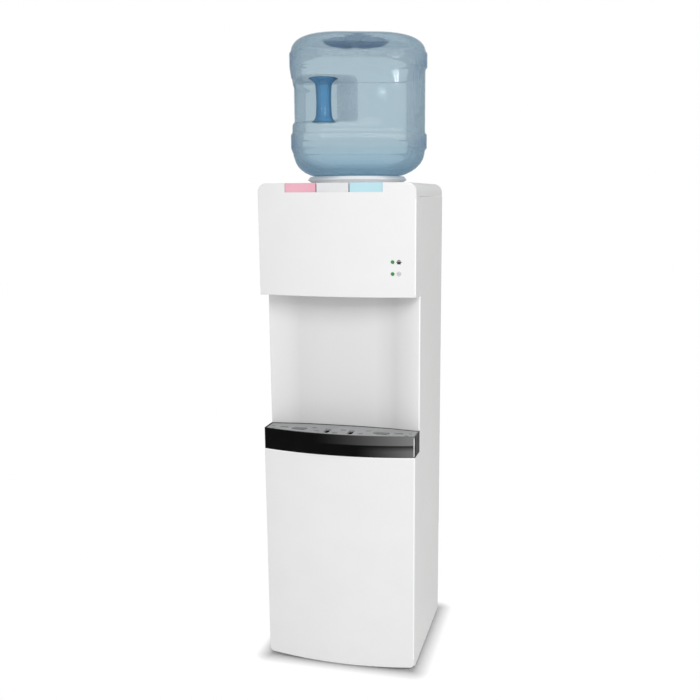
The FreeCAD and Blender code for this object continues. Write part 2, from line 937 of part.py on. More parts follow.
def make_valve_bracket():
    """A steel shelf that carries the three valves, folded up beside the side panels' flanges."""
    margin = S.valve_radius + S.wall
    y0 = valve_y - S.nozzle_radius - S.steel
    lug_y = front + S.fascia_return + S.reveal * 2
    y1 = lug_y + S.flange
    wide = half - S.flange - S.reveal
    plate = box((hot_x - margin, cold_x + margin), (y0, y1), (valve_seat, valve_seat + S.steel))
    wing = box((-wide, wide), (lug_y, y1), (valve_seat, valve_seat + S.steel))
    ears = []
    for low, high in ((-wide, S.steel - wide), (wide - S.steel, wide)):
        ears.append(box((low, high), (lug_y, y1), (valve_seat, valve_seat + S.flange)))
    holes = []
    for x in valve_places():
        holes.append(rod((x, valve_y, valve_seat), S.nozzle_radius + S.reveal, S.steel))
    return node("valve_bracket", cut(fuse(plate, wing, *ears), *holes))


def make_button_guide():
    """A moulded strip that the rods pass through and the springs stand on, and its back wall."""
    low = guide_top - S.guide_thickness
    left = hot_x - S.flange
    right = cold_x + S.flange
    y0 = bow_y(left, S.wall + S.reveal * 4)
    y1 = front + S.button_depth + S.reveal
    strip = box((left, right), (y0, y1), (low, guide_top))
    wall = box((left, right), (y1, y1 + S.wall), (low, top - S.wall))
    holes = []
    for x in valve_places():
        holes.append(rod((x, valve_y, low), S.rod_radius + S.cap_gap, S.guide_thickness))
    return node("button_guide", cut(fuse(strip, wall), *holes))


def make_indicators():
    y0 = bow_y(lens_x, 0) - S.lens_proud
    lenses = []
    for z in (S.hot_lens_z, S.cold_lens_z):
        lenses.append(rod((lens_x, y0, z), S.lens_radius, S.lens_length, "y"))
    node("indicator_lenses", group(*lenses))
    board_y = y0 + S.lens_length
    reach = S.lens_radius * 3
    span = (S.cold_lens_z - reach, S.hot_lens_z + reach)
    board = box((lens_x - reach, lens_x + reach), (board_y, board_y + S.board_thickness), span)
    node("indicator_board", board)


# Bottle seat

seat_z = top + S.collar_rise
funnel_z = seat_z - S.funnel_depth


def make_bottle_collar():
    """The white ring and funnel that the bottle's shoulder and neck sit in."""
    body = new_body("bottle_collar")
    t = S.collar_wall
    deep = S.collar_rise
    spread = S.collar_mouth + t
    turn(body, [
        (S.probe_spigot_radius + S.cap_gap, funnel_z), (S.funnel_radius + t, funnel_z),
        (S.funnel_radius + t, funnel_z + t * 6), (spread, top - t), (spread + t, top),
        (S.collar_foot_radius, top), (S.collar_radius, top + S.collar_tip),
        (S.collar_top_radius, seat_z), (S.collar_mouth, seat_z), (S.collar_mouth, top),
        (S.funnel_radius, funnel_z + t * 6), (S.funnel_radius, funnel_z + t),
        (S.probe_spigot_radius + S.cap_gap, funnel_z + t)])
    return place(body, 0, axis_y, 0)


def make_feed_probe():
    """The hollow spike that opens the bottle's cap and lets the water down."""
    body = new_body("feed_probe")
    base = funnel_z + S.collar_wall
    low = funnel_z - S.flange / 2
    tip = base + S.probe_height
    r = S.probe_radius
    bore = S.probe_bore
    turn(body, [
        (bore, low), (S.probe_spigot_radius, low), (S.probe_spigot_radius, base),
        (S.probe_flange_radius, base), (S.probe_flange_radius, base + S.collar_wall),
        (r, base + S.collar_wall), (r, tip - r), (bore + S.steel, tip), (bore, tip)])
    return place(body, 0, axis_y, 0)


def rounded_square(half_side, corner, z):
    """A square with round corners, as one closed wire at height z."""
    reach = half_side - corner
    edges = []
    for quarter in range(4):
        turn_by = FreeCAD.Rotation(V(0, 0, 1), 90 * quarter)
        side_start = turn_by.multVec(V(half_side, -reach, 0)) + V(0, 0, z)
        side_end = turn_by.multVec(V(half_side, reach, 0)) + V(0, 0, z)
        bend = corner * math.sqrt(0.5)
        knuckle = turn_by.multVec(V(reach + bend, reach + bend, 0)) + V(0, 0, z)
        next_start = turn_by.multVec(V(reach, half_side, 0)) + V(0, 0, z)
        edges.append(Part.LineSegment(side_start, side_end).toShape())
        edges.append(Part.Arc(side_end, knuckle, next_start).toShape())
    return Part.Wire(edges)


DOME_SPANS = 4


def bottle_sections(inset):
    """Half side, corner radius and height of each section, from the shoulder to the base."""
    full = S.bottle_side.value / 2 - inset
    corner = S.bottle_corner.value - inset
    waist = S.bottle_waist.value
    high = S.bottle_height.value - inset
    dome = S.bottle_dome.value - inset
    spread = S.bottle_dome_spread.value - inset
    low_rib = S.lower_band_rise.value
    high_rib = S.upper_band_rise.value
    band = S.band_height.value
    slope = waist / 2
    flat = S.bottle_shoulder_half.value - inset / 2
    sections = [
        (flat, S.bottle_shoulder_corner.value - inset / 2, inset),
        (S.bottle_knuckle_half.value - inset, corner, S.bottle_knuckle_rise.value),
        (full - waist / 2, corner, S.bottle_shoulder_rise.value),
        (full - waist / 2, corner, low_rib - slope),
        (full, corner, low_rib), (full, corner, low_rib + band),
        (full - waist, corner - waist / 2, low_rib + band + slope),
        (full - waist, corner - waist / 2, high_rib - slope),
        (full, corner, high_rib), (full, corner, high_rib + band),
    ]
    for step in range(DOME_SPANS):
        angle = math.pi / 2 * (step + 1) / DOME_SPANS
        reach = full - spread * (1 - math.cos(angle))
        sections.append((reach, corner, high - dome * (1 - math.sin(angle))))
    return sections


def bottle_solid(inset):
    """The bottle's form, shrunk by inset, from loft spans between neighbouring sections."""
    wires = [rounded_square(*section) for section in bottle_sections(inset)]
    return Part.makeLoft(wires, True, True)


def make_bottle():
    """A handled polycarbonate bottle, neck down: a hollow shell with a grip across one corner."""
    wall = S.bottle_wall.value
    neck = S.neck_radius.value
    cone = S.neck_cone.value
    length = cone + S.neck_length.value
    outer = bottle_solid(0)
    inner = bottle_solid(wall)
    throat = Part.makeCone(neck, S.neck_cone_half.value, cone, V(0, 0, -cone))
    throat = throat.fuse(Part.makeCylinder(neck, length, V(0, 0, -length)))
    hole = Part.makeCone(neck - wall, S.neck_cone_half.value - wall, cone + wall, V(0, 0, -cone))
    hole = hole.fuse(Part.makeCylinder(neck - wall, length + wall, V(0, 0, -length - wall)))
    low = S.grip_low.value
    high = S.grip_high.value
    reach = S.grip_reach.value
    across = S.grip_half.value
    out = S.bottle_side.value
    start = S.grip_radius.value + S.grip_width.value / 2 - reach
    scoop = Part.makeBox(out, 2 * across, high - low, V(start, -across, low))
    shelter = Part.makeBox(
        out, 2 * (across + wall), high - low + 2 * wall, V(start - wall, -across - wall, low - wall))
    grip = Part.makeCylinder(S.grip_width.value / 2, high - low, V(S.grip_radius.value, 0, low))
    corner_way = FreeCAD.Rotation(V(0, 0, 1), S.grip_bearing.value)
    for tool in (scoop, shelter, grip):
        tool.Placement = FreeCAD.Placement(V(0, 0, 0), corner_way)
    shell = outer.fuse(throat).cut(scoop)
    shell = shell.cut(inner.cut(shelter).fuse(hole)).fuse(grip)
    bottle = doc.addObject("Part::Feature", "bottle")
    bottle.Shape = shell.removeSplitter()
    bottle.Placement.Rotation = FreeCAD.Rotation(V(0, 0, 1), S.bottle_turn.value)
    place(bottle, 0, axis_y, seat_z)
    return node("bottle", bottle)


def make_bottle_cap():
    """The snap-on cap round the neck, with the hole that the probe opens."""
    body = new_body("bottle_cap")
    mouth = seat_z - S.neck_cone - S.neck_length
    outer = S.neck_radius + S.cap_gap + S.cap_wall
    gap = S.reveal
    turn(body, [
        (S.cap_hole, mouth - S.cap_wall - gap), (outer, mouth - S.cap_wall - gap),
        (outer, mouth + S.cap_height), (outer - S.cap_wall, mouth + S.cap_height),
        (outer - S.cap_wall, mouth - gap), (S.cap_hole, mouth - gap)])
    return place(body, 0, axis_y, 0)


# Tanks

lid_z = funnel_z - S.lid_thickness
tank_z = lid_z - S.tank_height
foam_z = tank_z - S.foam_floor
shelf_z = foam_z - S.steel
hot_foam_top = shelf_z - S.hot_drop
hot_z = hot_foam_top - S.hot_foam - S.hot_height
hot_foam_z = hot_z - S.hot_foam
hot_shelf_z = hot_foam_z - S.steel
hot_y = axis_y + S.hot_y


def make_tank_lid():
    body = new_body("cold_tank_lid")
    bore = S.probe_spigot_radius + S.cap_gap
    turn(body, [
        (bore, lid_z), (S.tank_radius + S.tank_lip, lid_z),
        (S.tank_radius + S.tank_lip, funnel_z), (bore, funnel_z)])
    return place(body, 0, axis_y, 0)


def make_cold_tank():
    """A spun stainless cup with a rolled lip."""
    body = new_body("cold_tank")
    r = S.tank_radius
    t = S.tank_wall
    turn(body, [
        (0, tank_z), (r, tank_z), (r, lid_z - t), (r + S.tank_lip, lid_z - t), (r + S.tank_lip, lid_z),
        (r - t, lid_z), (r - t, tank_z + t), (0, tank_z + t)])
    return place(body, 0, axis_y, 0)


def make_baffle():
    """A disc that keeps the chilled water below the room-temperature water."""
    body = new_body("cold_baffle")
    r = S.tank_radius - S.tank_wall - S.cap_gap
    z = lid_z - S.baffle_drop
    stem = S.probe_radius + S.wall
    turn(body, [
        (S.probe_radius, z), (r, z), (r, z + S.baffle_thickness), (stem, z + S.baffle_thickness),
        (stem, z + S.baffle_drop - S.wall), (S.probe_radius, z + S.baffle_drop - S.wall)])
    return place(body, 0, axis_y, 0)


def make_cold_foam():
    body = new_body("cold_tank_insulation")
    r = S.tank_radius + S.coil_wire * 2 + S.foam_gap
    turn(body, [
        (0, foam_z), (S.foam_radius, foam_z), (S.foam_radius, lid_z - S.tank_wall * 2),
        (r, lid_z - S.tank_wall * 2), (r, tank_z), (0, tank_z)])
    return place(body, 0, axis_y, 0)


def make_evaporator():
    """The refrigerant coil wound on the cold tank."""
    wire = S.coil_wire.value
    radius = S.tank_radius.value + wire + S.coil_clear.value
    coil = wound("evaporator", radius, S.coil_turns.value, S.coil_rise.value, wire)
    place(coil, 0, axis_y, tank_z + S.flange)
    return node("evaporator_coil", coil)


def make_hot_tank():
    body = new_body("hot_tank")
    r = S.hot_radius
    t = S.tank_wall
    high = hot_z + S.hot_height
    turn(body, [
        (0, hot_z), (r, hot_z), (r, high), (S.hose_bore, high), (S.hose_bore, high - t),
        (r - t, high - t), (r - t, hot_z + t), (0, hot_z + t)])
    return place(body, 0, hot_y, 0)


def make_heater_band():
    body = new_body("heater_band")
    r = S.hot_radius
    z = hot_z + S.hot_height / 4
    turn(body, [
        (r, z), (r + S.band_thickness, z), (r + S.band_thickness, z + S.band_width), (r, z + S.band_width)])
    return place(body, 0, hot_y, 0)


def make_hot_foam():
    body = new_body("hot_tank_insulation")
    r = S.hot_radius + S.band_thickness + S.foam_gap
    wide = r + S.hot_foam
    high = hot_z + S.hot_height
    turn(body, [
        (S.hose_radius + S.foam_gap, high), (S.hose_radius + S.foam_gap, hot_foam_top),
        (wide, hot_foam_top), (wide, hot_foam_z), (S.hose_radius + S.foam_gap, hot_foam_z),
        (S.hose_radius + S.foam_gap, hot_z), (r, hot_z), (r, high)])
    return place(body, 0, hot_y, 0)


def make_shelf(label, z, reach_y, holes):
    """A folded steel shelf between the side panels."""
    x1 = inner_half
    y0 = axis_y - reach_y
    y1 = rear - S.steel * 2 - S.reveal * 2
    plate = box((-x1, x1), (y0, y1), (z, z + S.steel))
    folds = []
    for low, high in ((-x1, S.steel - x1), (x1 - S.steel, x1)):
        folds.append(box((low, high), (y0, y1), (z - S.flange, z)))
    openings = [rod((x, y, z), radius, S.steel) for x, y, radius in holes]
    return node(label, cut(fuse(plate, *folds), *openings))


# Hoses and pipes: straight runs joined by tangent arcs

def bent_wire(route):
    """A wire through (x, y, z, bend) points, each inner corner rounded to its bend."""
    spots = [point(*stop[:3]) for stop in route]
    edges = []
    here = spots[0]
    for index in range(1, len(route) - 1):
        corner = spots[index]
        arriving = (corner - spots[index - 1]).normalize()
        leaving = (spots[index + 1] - corner).normalize()
        angle = arriving.getAngle(leaving)
        bend = as_size(route[index][3]).value
        trim = bend * math.tan(angle / 2)
        start = corner - arriving * trim
        end = corner + leaving * trim
        inward = (leaving - arriving).normalize()
        centre = corner + inward * (bend / math.cos(angle / 2))
        if here.distanceToPoint(start) > 1e-6:
            edges.append(Part.LineSegment(here, start).toShape())
        edges.append(Part.Arc(start, centre - inward * bend, end).toShape())
        here = end
    edges.append(Part.LineSegment(here, spots[-1]).toShape())
    return Part.Wire(edges)


def swept(route, radius):
    spots = [point(*stop[:3]) for stop in route[:2]]
    path = bent_wire(route)
    section = Part.Wire(Part.makeCircle(radius, spots[0], spots[1] - spots[0]))
    return path.makePipeShell([section], True, False)


def bent_tube(label, route, radius, bore=None):
    tube = doc.addObject("Part::Feature", label)
    solid = swept(route, as_size(radius).value)
    if bore is not None:
        solid = solid.cut(swept(route, as_size(bore).value))
    tube.Shape = solid
    return tube


inlet_y = valve_y + S.valve_radius + S.barb_length
inlet_z = valve_seat + S.steel + S.barb_rise
riser_y = front + S.alcove_knee_depth + S.hose_radius * 5
under_shelf = shelf_z - S.flange
cold_outlet = (S.tank_radius * 0.45, axis_y - S.tank_radius / 2)
feed_place = (S.hot_radius / 2, hot_y + S.hot_radius / 4)
room_outlet_z = lid_z - S.baffle_drop / 2
evaporator_low = tank_z + S.flange
evaporator_high = evaporator_low + S.coil_rise
evaporator_x = S.tank_radius + S.coil_wire + S.coil_clear
base_top = ground + S.steel * 2
plate_z = base_top + S.mount_height
compressor_z = plate_z + S.plate_thickness
pipe_y = rear - S.pipe_bend
capillary_x = half - S.pipe_bend
capillary_y = riser_y + S.hose_radius * 2


def make_hoses():
    bend = S.hose_bend
    r = S.hose_radius
    bore = S.hose_bore
    x, y = cold_outlet
    cold = bent_tube("cold_water_hose", [
        (x, y, tank_z - S.contact_gap), (x, y, under_shelf, bend), (cold_x, riser_y, under_shelf, bend),
        (cold_x, riser_y, inlet_z, bend), (cold_x, inlet_y, inlet_z)], r, bore)
    hot = bent_tube("hot_water_hose", [
        (0, hot_y, hot_z + S.hot_height), (0, hot_y, under_shelf, bend),
        (hot_x, riser_y, under_shelf, bend), (hot_x, riser_y, inlet_z, bend),
        (hot_x, inlet_y, inlet_z)], r, bore)
    down_y = inlet_y + bend + S.reveal * 3
    room = bent_tube("room_water_hose", [
        (room_x, axis_y - S.tank_radius - S.contact_gap, room_outlet_z), (room_x, down_y, room_outlet_z, bend),
        (room_x, down_y, inlet_z, bend), (room_x, inlet_y, inlet_z)], r, bore)
    x, y = feed_place
    feed = bent_tube("feed_hose", [(x, y, tank_z), (x, y, hot_z + S.hot_height)], r, bore)
    drain_z = S.service_z
    drain = bent_tube("drain_hose", [
        (0, hot_y, hot_z), (0, hot_y, drain_z + S.hot_radius * 2, S.hot_radius / 2),
        (S.drain_x, hot_y + S.hot_radius, drain_z, S.hot_radius / 2),
        (S.drain_x, rear - S.flange * 2, drain_z)], r, bore)
    node("water_hoses", group(cold, hot, room, feed))
    node("drain_hose", drain)


def foam_holes():
    """Lets the hoses and refrigerant pipes through the insulation."""
    cold = [thing for thing in nodes if thing.Label == "cold_tank_insulation"][0]
    hot = [thing for thing in nodes if thing.Label == "hot_tank_insulation"][0]
    clear = S.hose_radius + S.foam_gap
    floor = new_sketch(cold, "top", tank_z)
    for x, y in (cold_outlet, feed_place):
        add_circle(floor, x, y - axis_y, clear)
    pocket(cold, floor, S.foam_floor * 2)
    pipes = new_sketch(cold, "front")
    add_circle(pipes, evaporator_x, evaporator_low, S.pipe_radius + S.foam_gap)
    add_circle(pipes, room_x, room_outlet_z, clear)
    pocket(cold, pipes, S.foam_radius * 2, forward=True)
    suction = new_sketch(cold, "front")
    add_circle(suction, evaporator_x, evaporator_high, S.pipe_radius + S.foam_gap)
    pocket(cold, suction, S.foam_radius * 2)
    roof = new_sketch(hot, "top", hot_foam_top)
    add_circle(roof, feed_place[0], feed_place[1] - hot_y, clear)
    pocket(hot, roof, S.hot_foam)


def make_pipes():
    bend = S.pipe_bend
    r = S.pipe_radius
    side_x = S.compressor_radius + S.contact_gap
    high = compressor_z + S.compressor_height / 2
    suction = bent_tube("suction_pipe", [
        (evaporator_x, axis_y + S.contact_gap * 2, evaporator_high), (evaporator_x, pipe_y, evaporator_high, bend),
        (evaporator_x, pipe_y, high, bend), (evaporator_x, compressor_y, high, bend / 2),
        (side_x, compressor_y, high)], r)
    low = compressor_z + S.compressor_height / 4
    start = condenser_half
    turn_x = start + S.condenser_pitch / 2 - S.condenser_tube * 2
    discharge = bent_tube("discharge_pipe", [
        (-start, condenser_y, S.condenser_bottom), (-turn_x, condenser_y, S.condenser_bottom, bend),
        (-turn_x, condenser_y, low, bend), (-turn_x, compressor_y, low, bend),
        (-side_x, compressor_y, low)], S.condenser_tube)
    floor_z = base_top + S.flange * 2
    thin = S.condenser_tube / 2
    capillary = bent_tube("capillary_tube", [
        (evaporator_x, axis_y - S.contact_gap * 2, evaporator_low), (evaporator_x, capillary_y, evaporator_low, bend),
        (capillary_x, capillary_y, evaporator_low, bend), (capillary_x, capillary_y, floor_z, bend),
        (-downcomer_x, capillary_y, floor_z, bend), (-downcomer_x, drier_y, floor_z, bend),
        (-downcomer_x, drier_y, drier_z)], thin)
    node("refrigerant_pipes", group(suction, discharge, capillary))


# Cooling plant

condenser_y = S.overall_depth / 2 - S.condenser_tube - S.condenser_wire * 2
downcomer_x = condenser_half + S.condenser_pitch / 2 + S.condenser_tube * 2.5
drier_y = rear - S.foot_inset
drier_z = base_top + S.flange * 4
drier_top = drier_z + S.drier_length


def make_condenser():
    """The rear condenser: one serpentine tube, with wires welded across both faces."""
    r = S.condenser_pitch / 2
    bend = S.pipe_bend
    y = condenser_y
    high = S.condenser_bottom + S.condenser_pitch * (S.condenser_passes - 1)
    entry_z = S.rear_panel_bottom - S.condenser_pitch / 2
    route = [
        (-downcomer_x, drier_y, drier_top), (-downcomer_x, drier_y, entry_z, bend),
        (-downcomer_x, y, entry_z, bend), (-downcomer_x, y, high, bend)]
    reach = condenser_half + r
    for index in range(int(S.condenser_passes.value) - 1):
        side = 1 if index % 2 == 0 else -1
        z = high - S.condenser_pitch * index
        route.append((reach * side, y, z, r))
        route.append((reach * side, y, z - S.condenser_pitch, r))
    last = 1 if int(S.condenser_passes.value) % 2 == 1 else -1
    route.append((condenser_half * last, y, S.condenser_bottom))
    node("condenser_coil", bent_tube("condenser_coil", route, S.condenser_tube))
    wires = []
    low = S.condenser_bottom - S.wire_overhang
    length = high - low + S.wire_overhang
    span = condenser_half * 2 - S.condenser_tube * 6
    for index in range(int(S.wire_count.value)):
        x = span * index / (S.wire_count - 1) - span / 2
        for face in (-1, 1):
            offset = (S.condenser_tube + S.condenser_wire) * face
            wires.append(rod((x, y + offset, low), S.condenser_wire, length))
    node("condenser_wires", group(*wires))
    standoffs = []
    for z in (S.condenser_bottom + S.condenser_pitch, high - S.condenser_pitch):
        for side in (-1, 1):
            x = (condenser_half - S.flange * 2) * side
            reach_y = y - S.condenser_tube - S.condenser_wire * 2 - S.contact_gap
            w = S.flange / 2
            standoffs.append(box((x - w, x + w), (rear, reach_y), (z - w, z + w)))
    node("condenser_standoffs", group(*standoffs))


def compressor_form(label, inset, bead):
    """The compressor's pressed form, shrunk by inset, with a weld bead round its waist."""
    body = doc.addObject("PartDesign::Body", label)
    r = S.compressor_radius - inset
    low = compressor_z + inset
    high = compressor_z + S.compressor_height - inset
    dome = S.compressor_dome - inset
    weld = compressor_z + S.compressor_weld_rise
    turn(body, [
        (0, low), (r - dome / 2, low, dome / 2), (r, low + dome / 2), (r, weld - bead),
        (r + bead, weld - bead), (r + bead, weld), (r, weld), (r, high - dome, dome),
        (r - dome, high), (0, high)])
    return place(body, 0, compressor_y, 0)


def make_compressor():
    """A pressed steel shell that holds its motor and pump as one block."""
    wall = S.compressor_wall
    shell = compressor_form("compressor_outside", as_size(0), S.wall)
    cavity = compressor_form("compressor_inside", wall, S.wall / 2)
    low = compressor_z
    motor = rod((0, compressor_y, low + wall), S.motor_radius, S.motor_height)
    node("compressor", group(cut(shell, cavity), motor))
    r = S.compressor_radius
    x1 = S.mount_span_x + S.mount_radius
    y1 = S.mount_span_y + S.mount_radius
    y = compressor_y
    plate = box((-x1, x1), (y - y1, y + y1), (plate_z, compressor_z))
    mounts = []
    for side in (-1, 1):
        for end in (-1, 1):
            place_y = y + S.mount_span_y * end
            mounts.append(rod((S.mount_span_x * side, place_y, base_top), S.mount_radius, S.mount_height))
    node("compressor_plate", plate)
    node("compressor_mounts", group(*mounts))
    z = low + S.compressor_height / 4
    w = S.compressor_radius / 3
    cover_y = y - r - w
    cover = box((-w, w), (cover_y, y - r + S.wall * 2), (z, z + w * 2))
    void = rod((0, y, z), r + S.contact_gap, w * 2)
    node("compressor_terminal_cover", cut(cover, void))
    drier = new_body("filter_drier")
    tube = S.condenser_tube * 2
    turn(drier, [
        (0, drier_z), (tube, drier_z), (S.drier_radius, drier_z + S.flange),
        (S.drier_radius, drier_top - S.flange), (tube, drier_top), (0, drier_top)])
    place(drier, -downcomer_x, drier_y, 0)


# Rear fittings

def rocker_places():
    return [S.switch_x - S.switch_pitch / 2, S.switch_x + S.switch_pitch / 2]


pivot_y = rear + S.pivot_proud


def make_switches():
    """Two rocker switches that tip about cross pins in one moulded housing."""
    z = S.service_z
    t = S.switch_plate_thickness
    w = S.switch_plate_width / 2
    h = S.switch_plate_height / 2
    deep = S.flange + S.wall
    inner_w = w - t - S.reveal
    inner_h = S.rocker_height / 2 + S.rocker_gap * 3 - S.reveal
    plate = box((S.switch_x - w, S.switch_x + w), (rear, rear + t), (z - h, z + h))
    block = box(
        (S.switch_x - inner_w, S.switch_x + inner_w), (rear - deep, rear), (z - inner_h, z + inner_h))
    voids = []
    pin = S.rod_radius * 0.4
    for x in rocker_places():
        reach = S.rocker_width / 2 + S.rocker_gap
        tall = S.rocker_height / 2 + S.rocker_gap
        voids.append(box((x - reach, x + reach), (rear - deep + S.wall, rear + t), (z - tall, z + tall)))
        bore = reach + S.wall
        voids.append(rod((x - bore, pivot_y, z), pin + S.rod_fit, bore * 2, "x"))
    node("switch_housing", cut(fuse(plate, block), *voids))
    for name, x in zip(("hot_switch", "cold_switch"), rocker_places()):
        body = new_body(name)
        tall = S.rocker_height / 2 - S.rocker_gap / 2
        face = S.switch_plate_thickness + S.rocker_gap
        side = new_sketch(body, "side", -S.rocker_width / 2)
        add_loop(side, [
            (-face * 2, -tall / 2), (-S.rocker_gap, -tall), (face, -tall), (face / 2, 0), (face, tall),
            (-S.rocker_gap, tall), (-face * 2, tall / 2)])
        pad(body, side, S.rocker_width)
        axle = new_sketch(body, "side", -S.rocker_width / 2 - S.wall)
        add_circle(axle, 0, 0, pin)
        pad(body, axle, S.rocker_width + S.wall * 2)
        place(body, x, pivot_y, z)
        tilt = FreeCAD.Rotation(V(1, 0, 0), -S.rocker_tilt.value)
        body.Placement.Rotation = tilt


def make_rear_fittings():
    gland = new_body("cord_gland")
    bore = S.gland_bore
    r = S.gland_radius
    turn(gland, [
        (bore, -S.flange), (r - S.cap_gap, -S.flange), (r - S.cap_gap, 0), (r + S.wall, 0),
        (r + S.wall, S.wall), (r, S.wall * 2), (bore, S.wall * 2)])
    place(gland, S.gland_x, rear, S.service_z)
    gland.Placement.Rotation = TURNS["y"]
    outlet = new_body("drain_outlet")
    r = S.drain_radius
    bore = S.drain_bore
    stub = S.flange * 2
    turn(outlet, [
        (S.hose_bore, -stub), (S.hose_radius + S.wall, -stub), (r - S.cap_gap, -S.flange),
        (r - S.cap_gap, 0), (r + S.wall, 0), (r + S.wall, S.wall), (r - S.wall, S.wall),
        (r - S.wall, S.flange), (bore, S.flange), (bore, -S.flange), (S.hose_bore, -S.flange)])
    place(outlet, S.drain_x, rear, S.service_z)
    outlet.Placement.Rotation = TURNS["y"]
    plug = new_body("drain_plug")
    grip = r + S.wall
    seat = S.flange + S.reveal
    turn(plug, [
        (0, -S.wall), (bore - S.cap_gap, -S.wall), (bore - S.cap_gap, seat), (grip, seat),
        (grip, seat + S.wall * 2), (bore, seat + S.wall * 3), (0, seat + S.wall * 3)])
    place(plug, S.drain_x, rear, S.service_z)
    plug.Placement.Rotation = TURNS["y"]


def screw_places():
    x = half - S.flange / 2
    low = S.rear_panel_bottom + S.flange
    high = cover_z - S.flange
    return [(x * side, low + (high - low) * (step / 3)) for side in (-1, 1) for step in range(4)]


def make_screws():
    """The rear panel's screws, one group of separate solids."""
    screws = []
    for x, z in screw_places():
        head = rod((x, rear, z), S.screw_head, S.wall, "y")
        shank = rod((x, rear - S.flange, z), S.screw_shank, S.flange, "y")
        screws.append(fuse(head, shank))
    node("rear_panel_screws", group(*screws))


def screw_holes():
    """Clearance holes through the rear panel and the side panels' rear flanges."""
    for label in ("rear_panel", "left_side_panel", "right_side_panel"):
        body = [thing for thing in nodes if thing.Label == label][0]
        holes = new_sketch(body, "front", -rear)
        for x, z in screw_places():
            if label == "rear_panel" or (x.value < 0) == (label == "left_side_panel"):
                add_circle(holes, x, z, S.screw_shank + S.lens_gap)
        pocket(body, holes, S.steel * 4, forward=True)


def build():
    side_panel("left_side_panel", -1)
    side_panel("right_side_panel", 1)
    make_base_plate()
    make_feet()
    make_rear_panel()
    make_top_cover()
    make_front_fascia()
    make_alcove_liner()
    make_lower_front_panel()
    make_drip_tray()
    make_drip_grille()
    for index, (name, x) in enumerate(zip(FLAVOURS, valve_places())):
        make_button(name, index)
        make_push_rod(name, x)
        make_spring(name, x)
        make_valve(name, x)
    make_valve_bracket()
    make_button_guide()
    make_indicators()
    make_bottle_collar()
    make_feed_probe()
    make_bottle()
    make_bottle_cap()
    make_tank_lid()
    make_cold_tank()
    make_baffle()
    make_cold_foam()
    make_evaporator()
    make_hot_tank()
    make_heater_band()
    make_hot_foam()
    foam_holes()
    clear = S.hose_radius + S.foam_gap
    make_shelf("tank_shelf", shelf_z, S.foam_radius + S.flange / 2, [
        (cold_outlet[0], cold_outlet[1], clear), (feed_place[0], feed_place[1], clear),
        (cold_x, riser_y, clear), (hot_x, riser_y, clear), (capillary_x, capillary_y, clear),
        (evaporator_x, pipe_y, clear)])
    make_shelf("hot_tank_shelf", hot_shelf_z, S.foam_radius + S.flange / 2, [
        (0, hot_y, clear), (capillary_x, capillary_y, clear), (evaporator_x, pipe_y, clear)])
    make_hoses()
    make_pipes()
    make_condenser()
    make_compressor()
    make_switches()
    make_rear_fittings()
    screw_holes()
    make_screws()


def check():
    doc.recompute()
    for thing in doc.Objects:
        if "Invalid" in thing.State or "Error" in thing.State:
            raise RuntimeError("%s of %s failed: %s" % (thing.Name, thing.Label, thing.State))
    for thing in nodes:
        if thing.Shape.isNull() or not thing.Shape.isValid():
            raise RuntimeError("%s has no valid shape" % thing.Label)


def write():
    os.makedirs("parts", exist_ok=True)
    for thing in nodes:
        thing.Shape.exportStep("parts/%s.step" % thing.Label)


build()
check()
write()
print("%d sub-parts written" % len(nodes))
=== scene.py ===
import json
import math

import bmesh
import bpy
from mathutils import Matrix, Vector


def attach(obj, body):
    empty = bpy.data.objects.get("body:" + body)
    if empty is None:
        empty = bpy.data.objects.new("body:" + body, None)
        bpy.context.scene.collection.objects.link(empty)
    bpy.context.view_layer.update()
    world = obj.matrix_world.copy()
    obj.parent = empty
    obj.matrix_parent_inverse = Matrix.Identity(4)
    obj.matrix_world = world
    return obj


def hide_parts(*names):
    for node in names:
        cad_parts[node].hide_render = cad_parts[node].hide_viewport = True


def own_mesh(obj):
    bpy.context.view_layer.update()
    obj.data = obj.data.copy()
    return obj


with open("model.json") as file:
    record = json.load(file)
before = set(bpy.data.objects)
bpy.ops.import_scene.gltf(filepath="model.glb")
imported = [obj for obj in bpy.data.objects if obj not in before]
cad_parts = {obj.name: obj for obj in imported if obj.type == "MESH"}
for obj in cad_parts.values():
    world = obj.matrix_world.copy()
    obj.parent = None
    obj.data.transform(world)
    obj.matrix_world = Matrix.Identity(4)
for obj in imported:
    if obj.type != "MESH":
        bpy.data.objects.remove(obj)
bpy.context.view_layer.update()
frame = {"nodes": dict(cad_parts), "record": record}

NODES = frame["nodes"]
MM = 0.001

# Places of the object, in millimetres in the row frame
HALF = 154.0
FRONT = -146.0
BOW = 18.5
BOW_R = (HALF * HALF + BOW * BOW) / (2 * BOW)
TRAY_BOW = 21.0
TRAY_R = (HALF * HALF + TRAY_BOW * TRAY_BOW) / (2 * TRAY_BOW)
AXIS_Y = 14.0
SEAT = 984.0
BOTTLE_TOP = 1250.0
BAND_LOWS = (SEAT + 51, SEAT + 200)
BAND_TALL = 27.0

BLACK = (0.0, 0.0, 0.0)
WHITE = (1.0, 1.0, 1.0)


def bow_y(x, sag=BOW, radius=BOW_R):
    """The bowed front's place at x; it stands before its sides by sag in the middle."""
    return FRONT - sag + radius - math.sqrt(radius ** 2 - x * x)


def smooth(edge0, edge1, value):
    """Eases from 0 at edge0 to 1 at edge1."""
    t = min(1.0, max(0.0, (value - edge0) / (edge1 - edge0)))
    return t * t * (3 - 2 * t)


def grey(tone):
    return (tone, tone, tone)


# Node materials

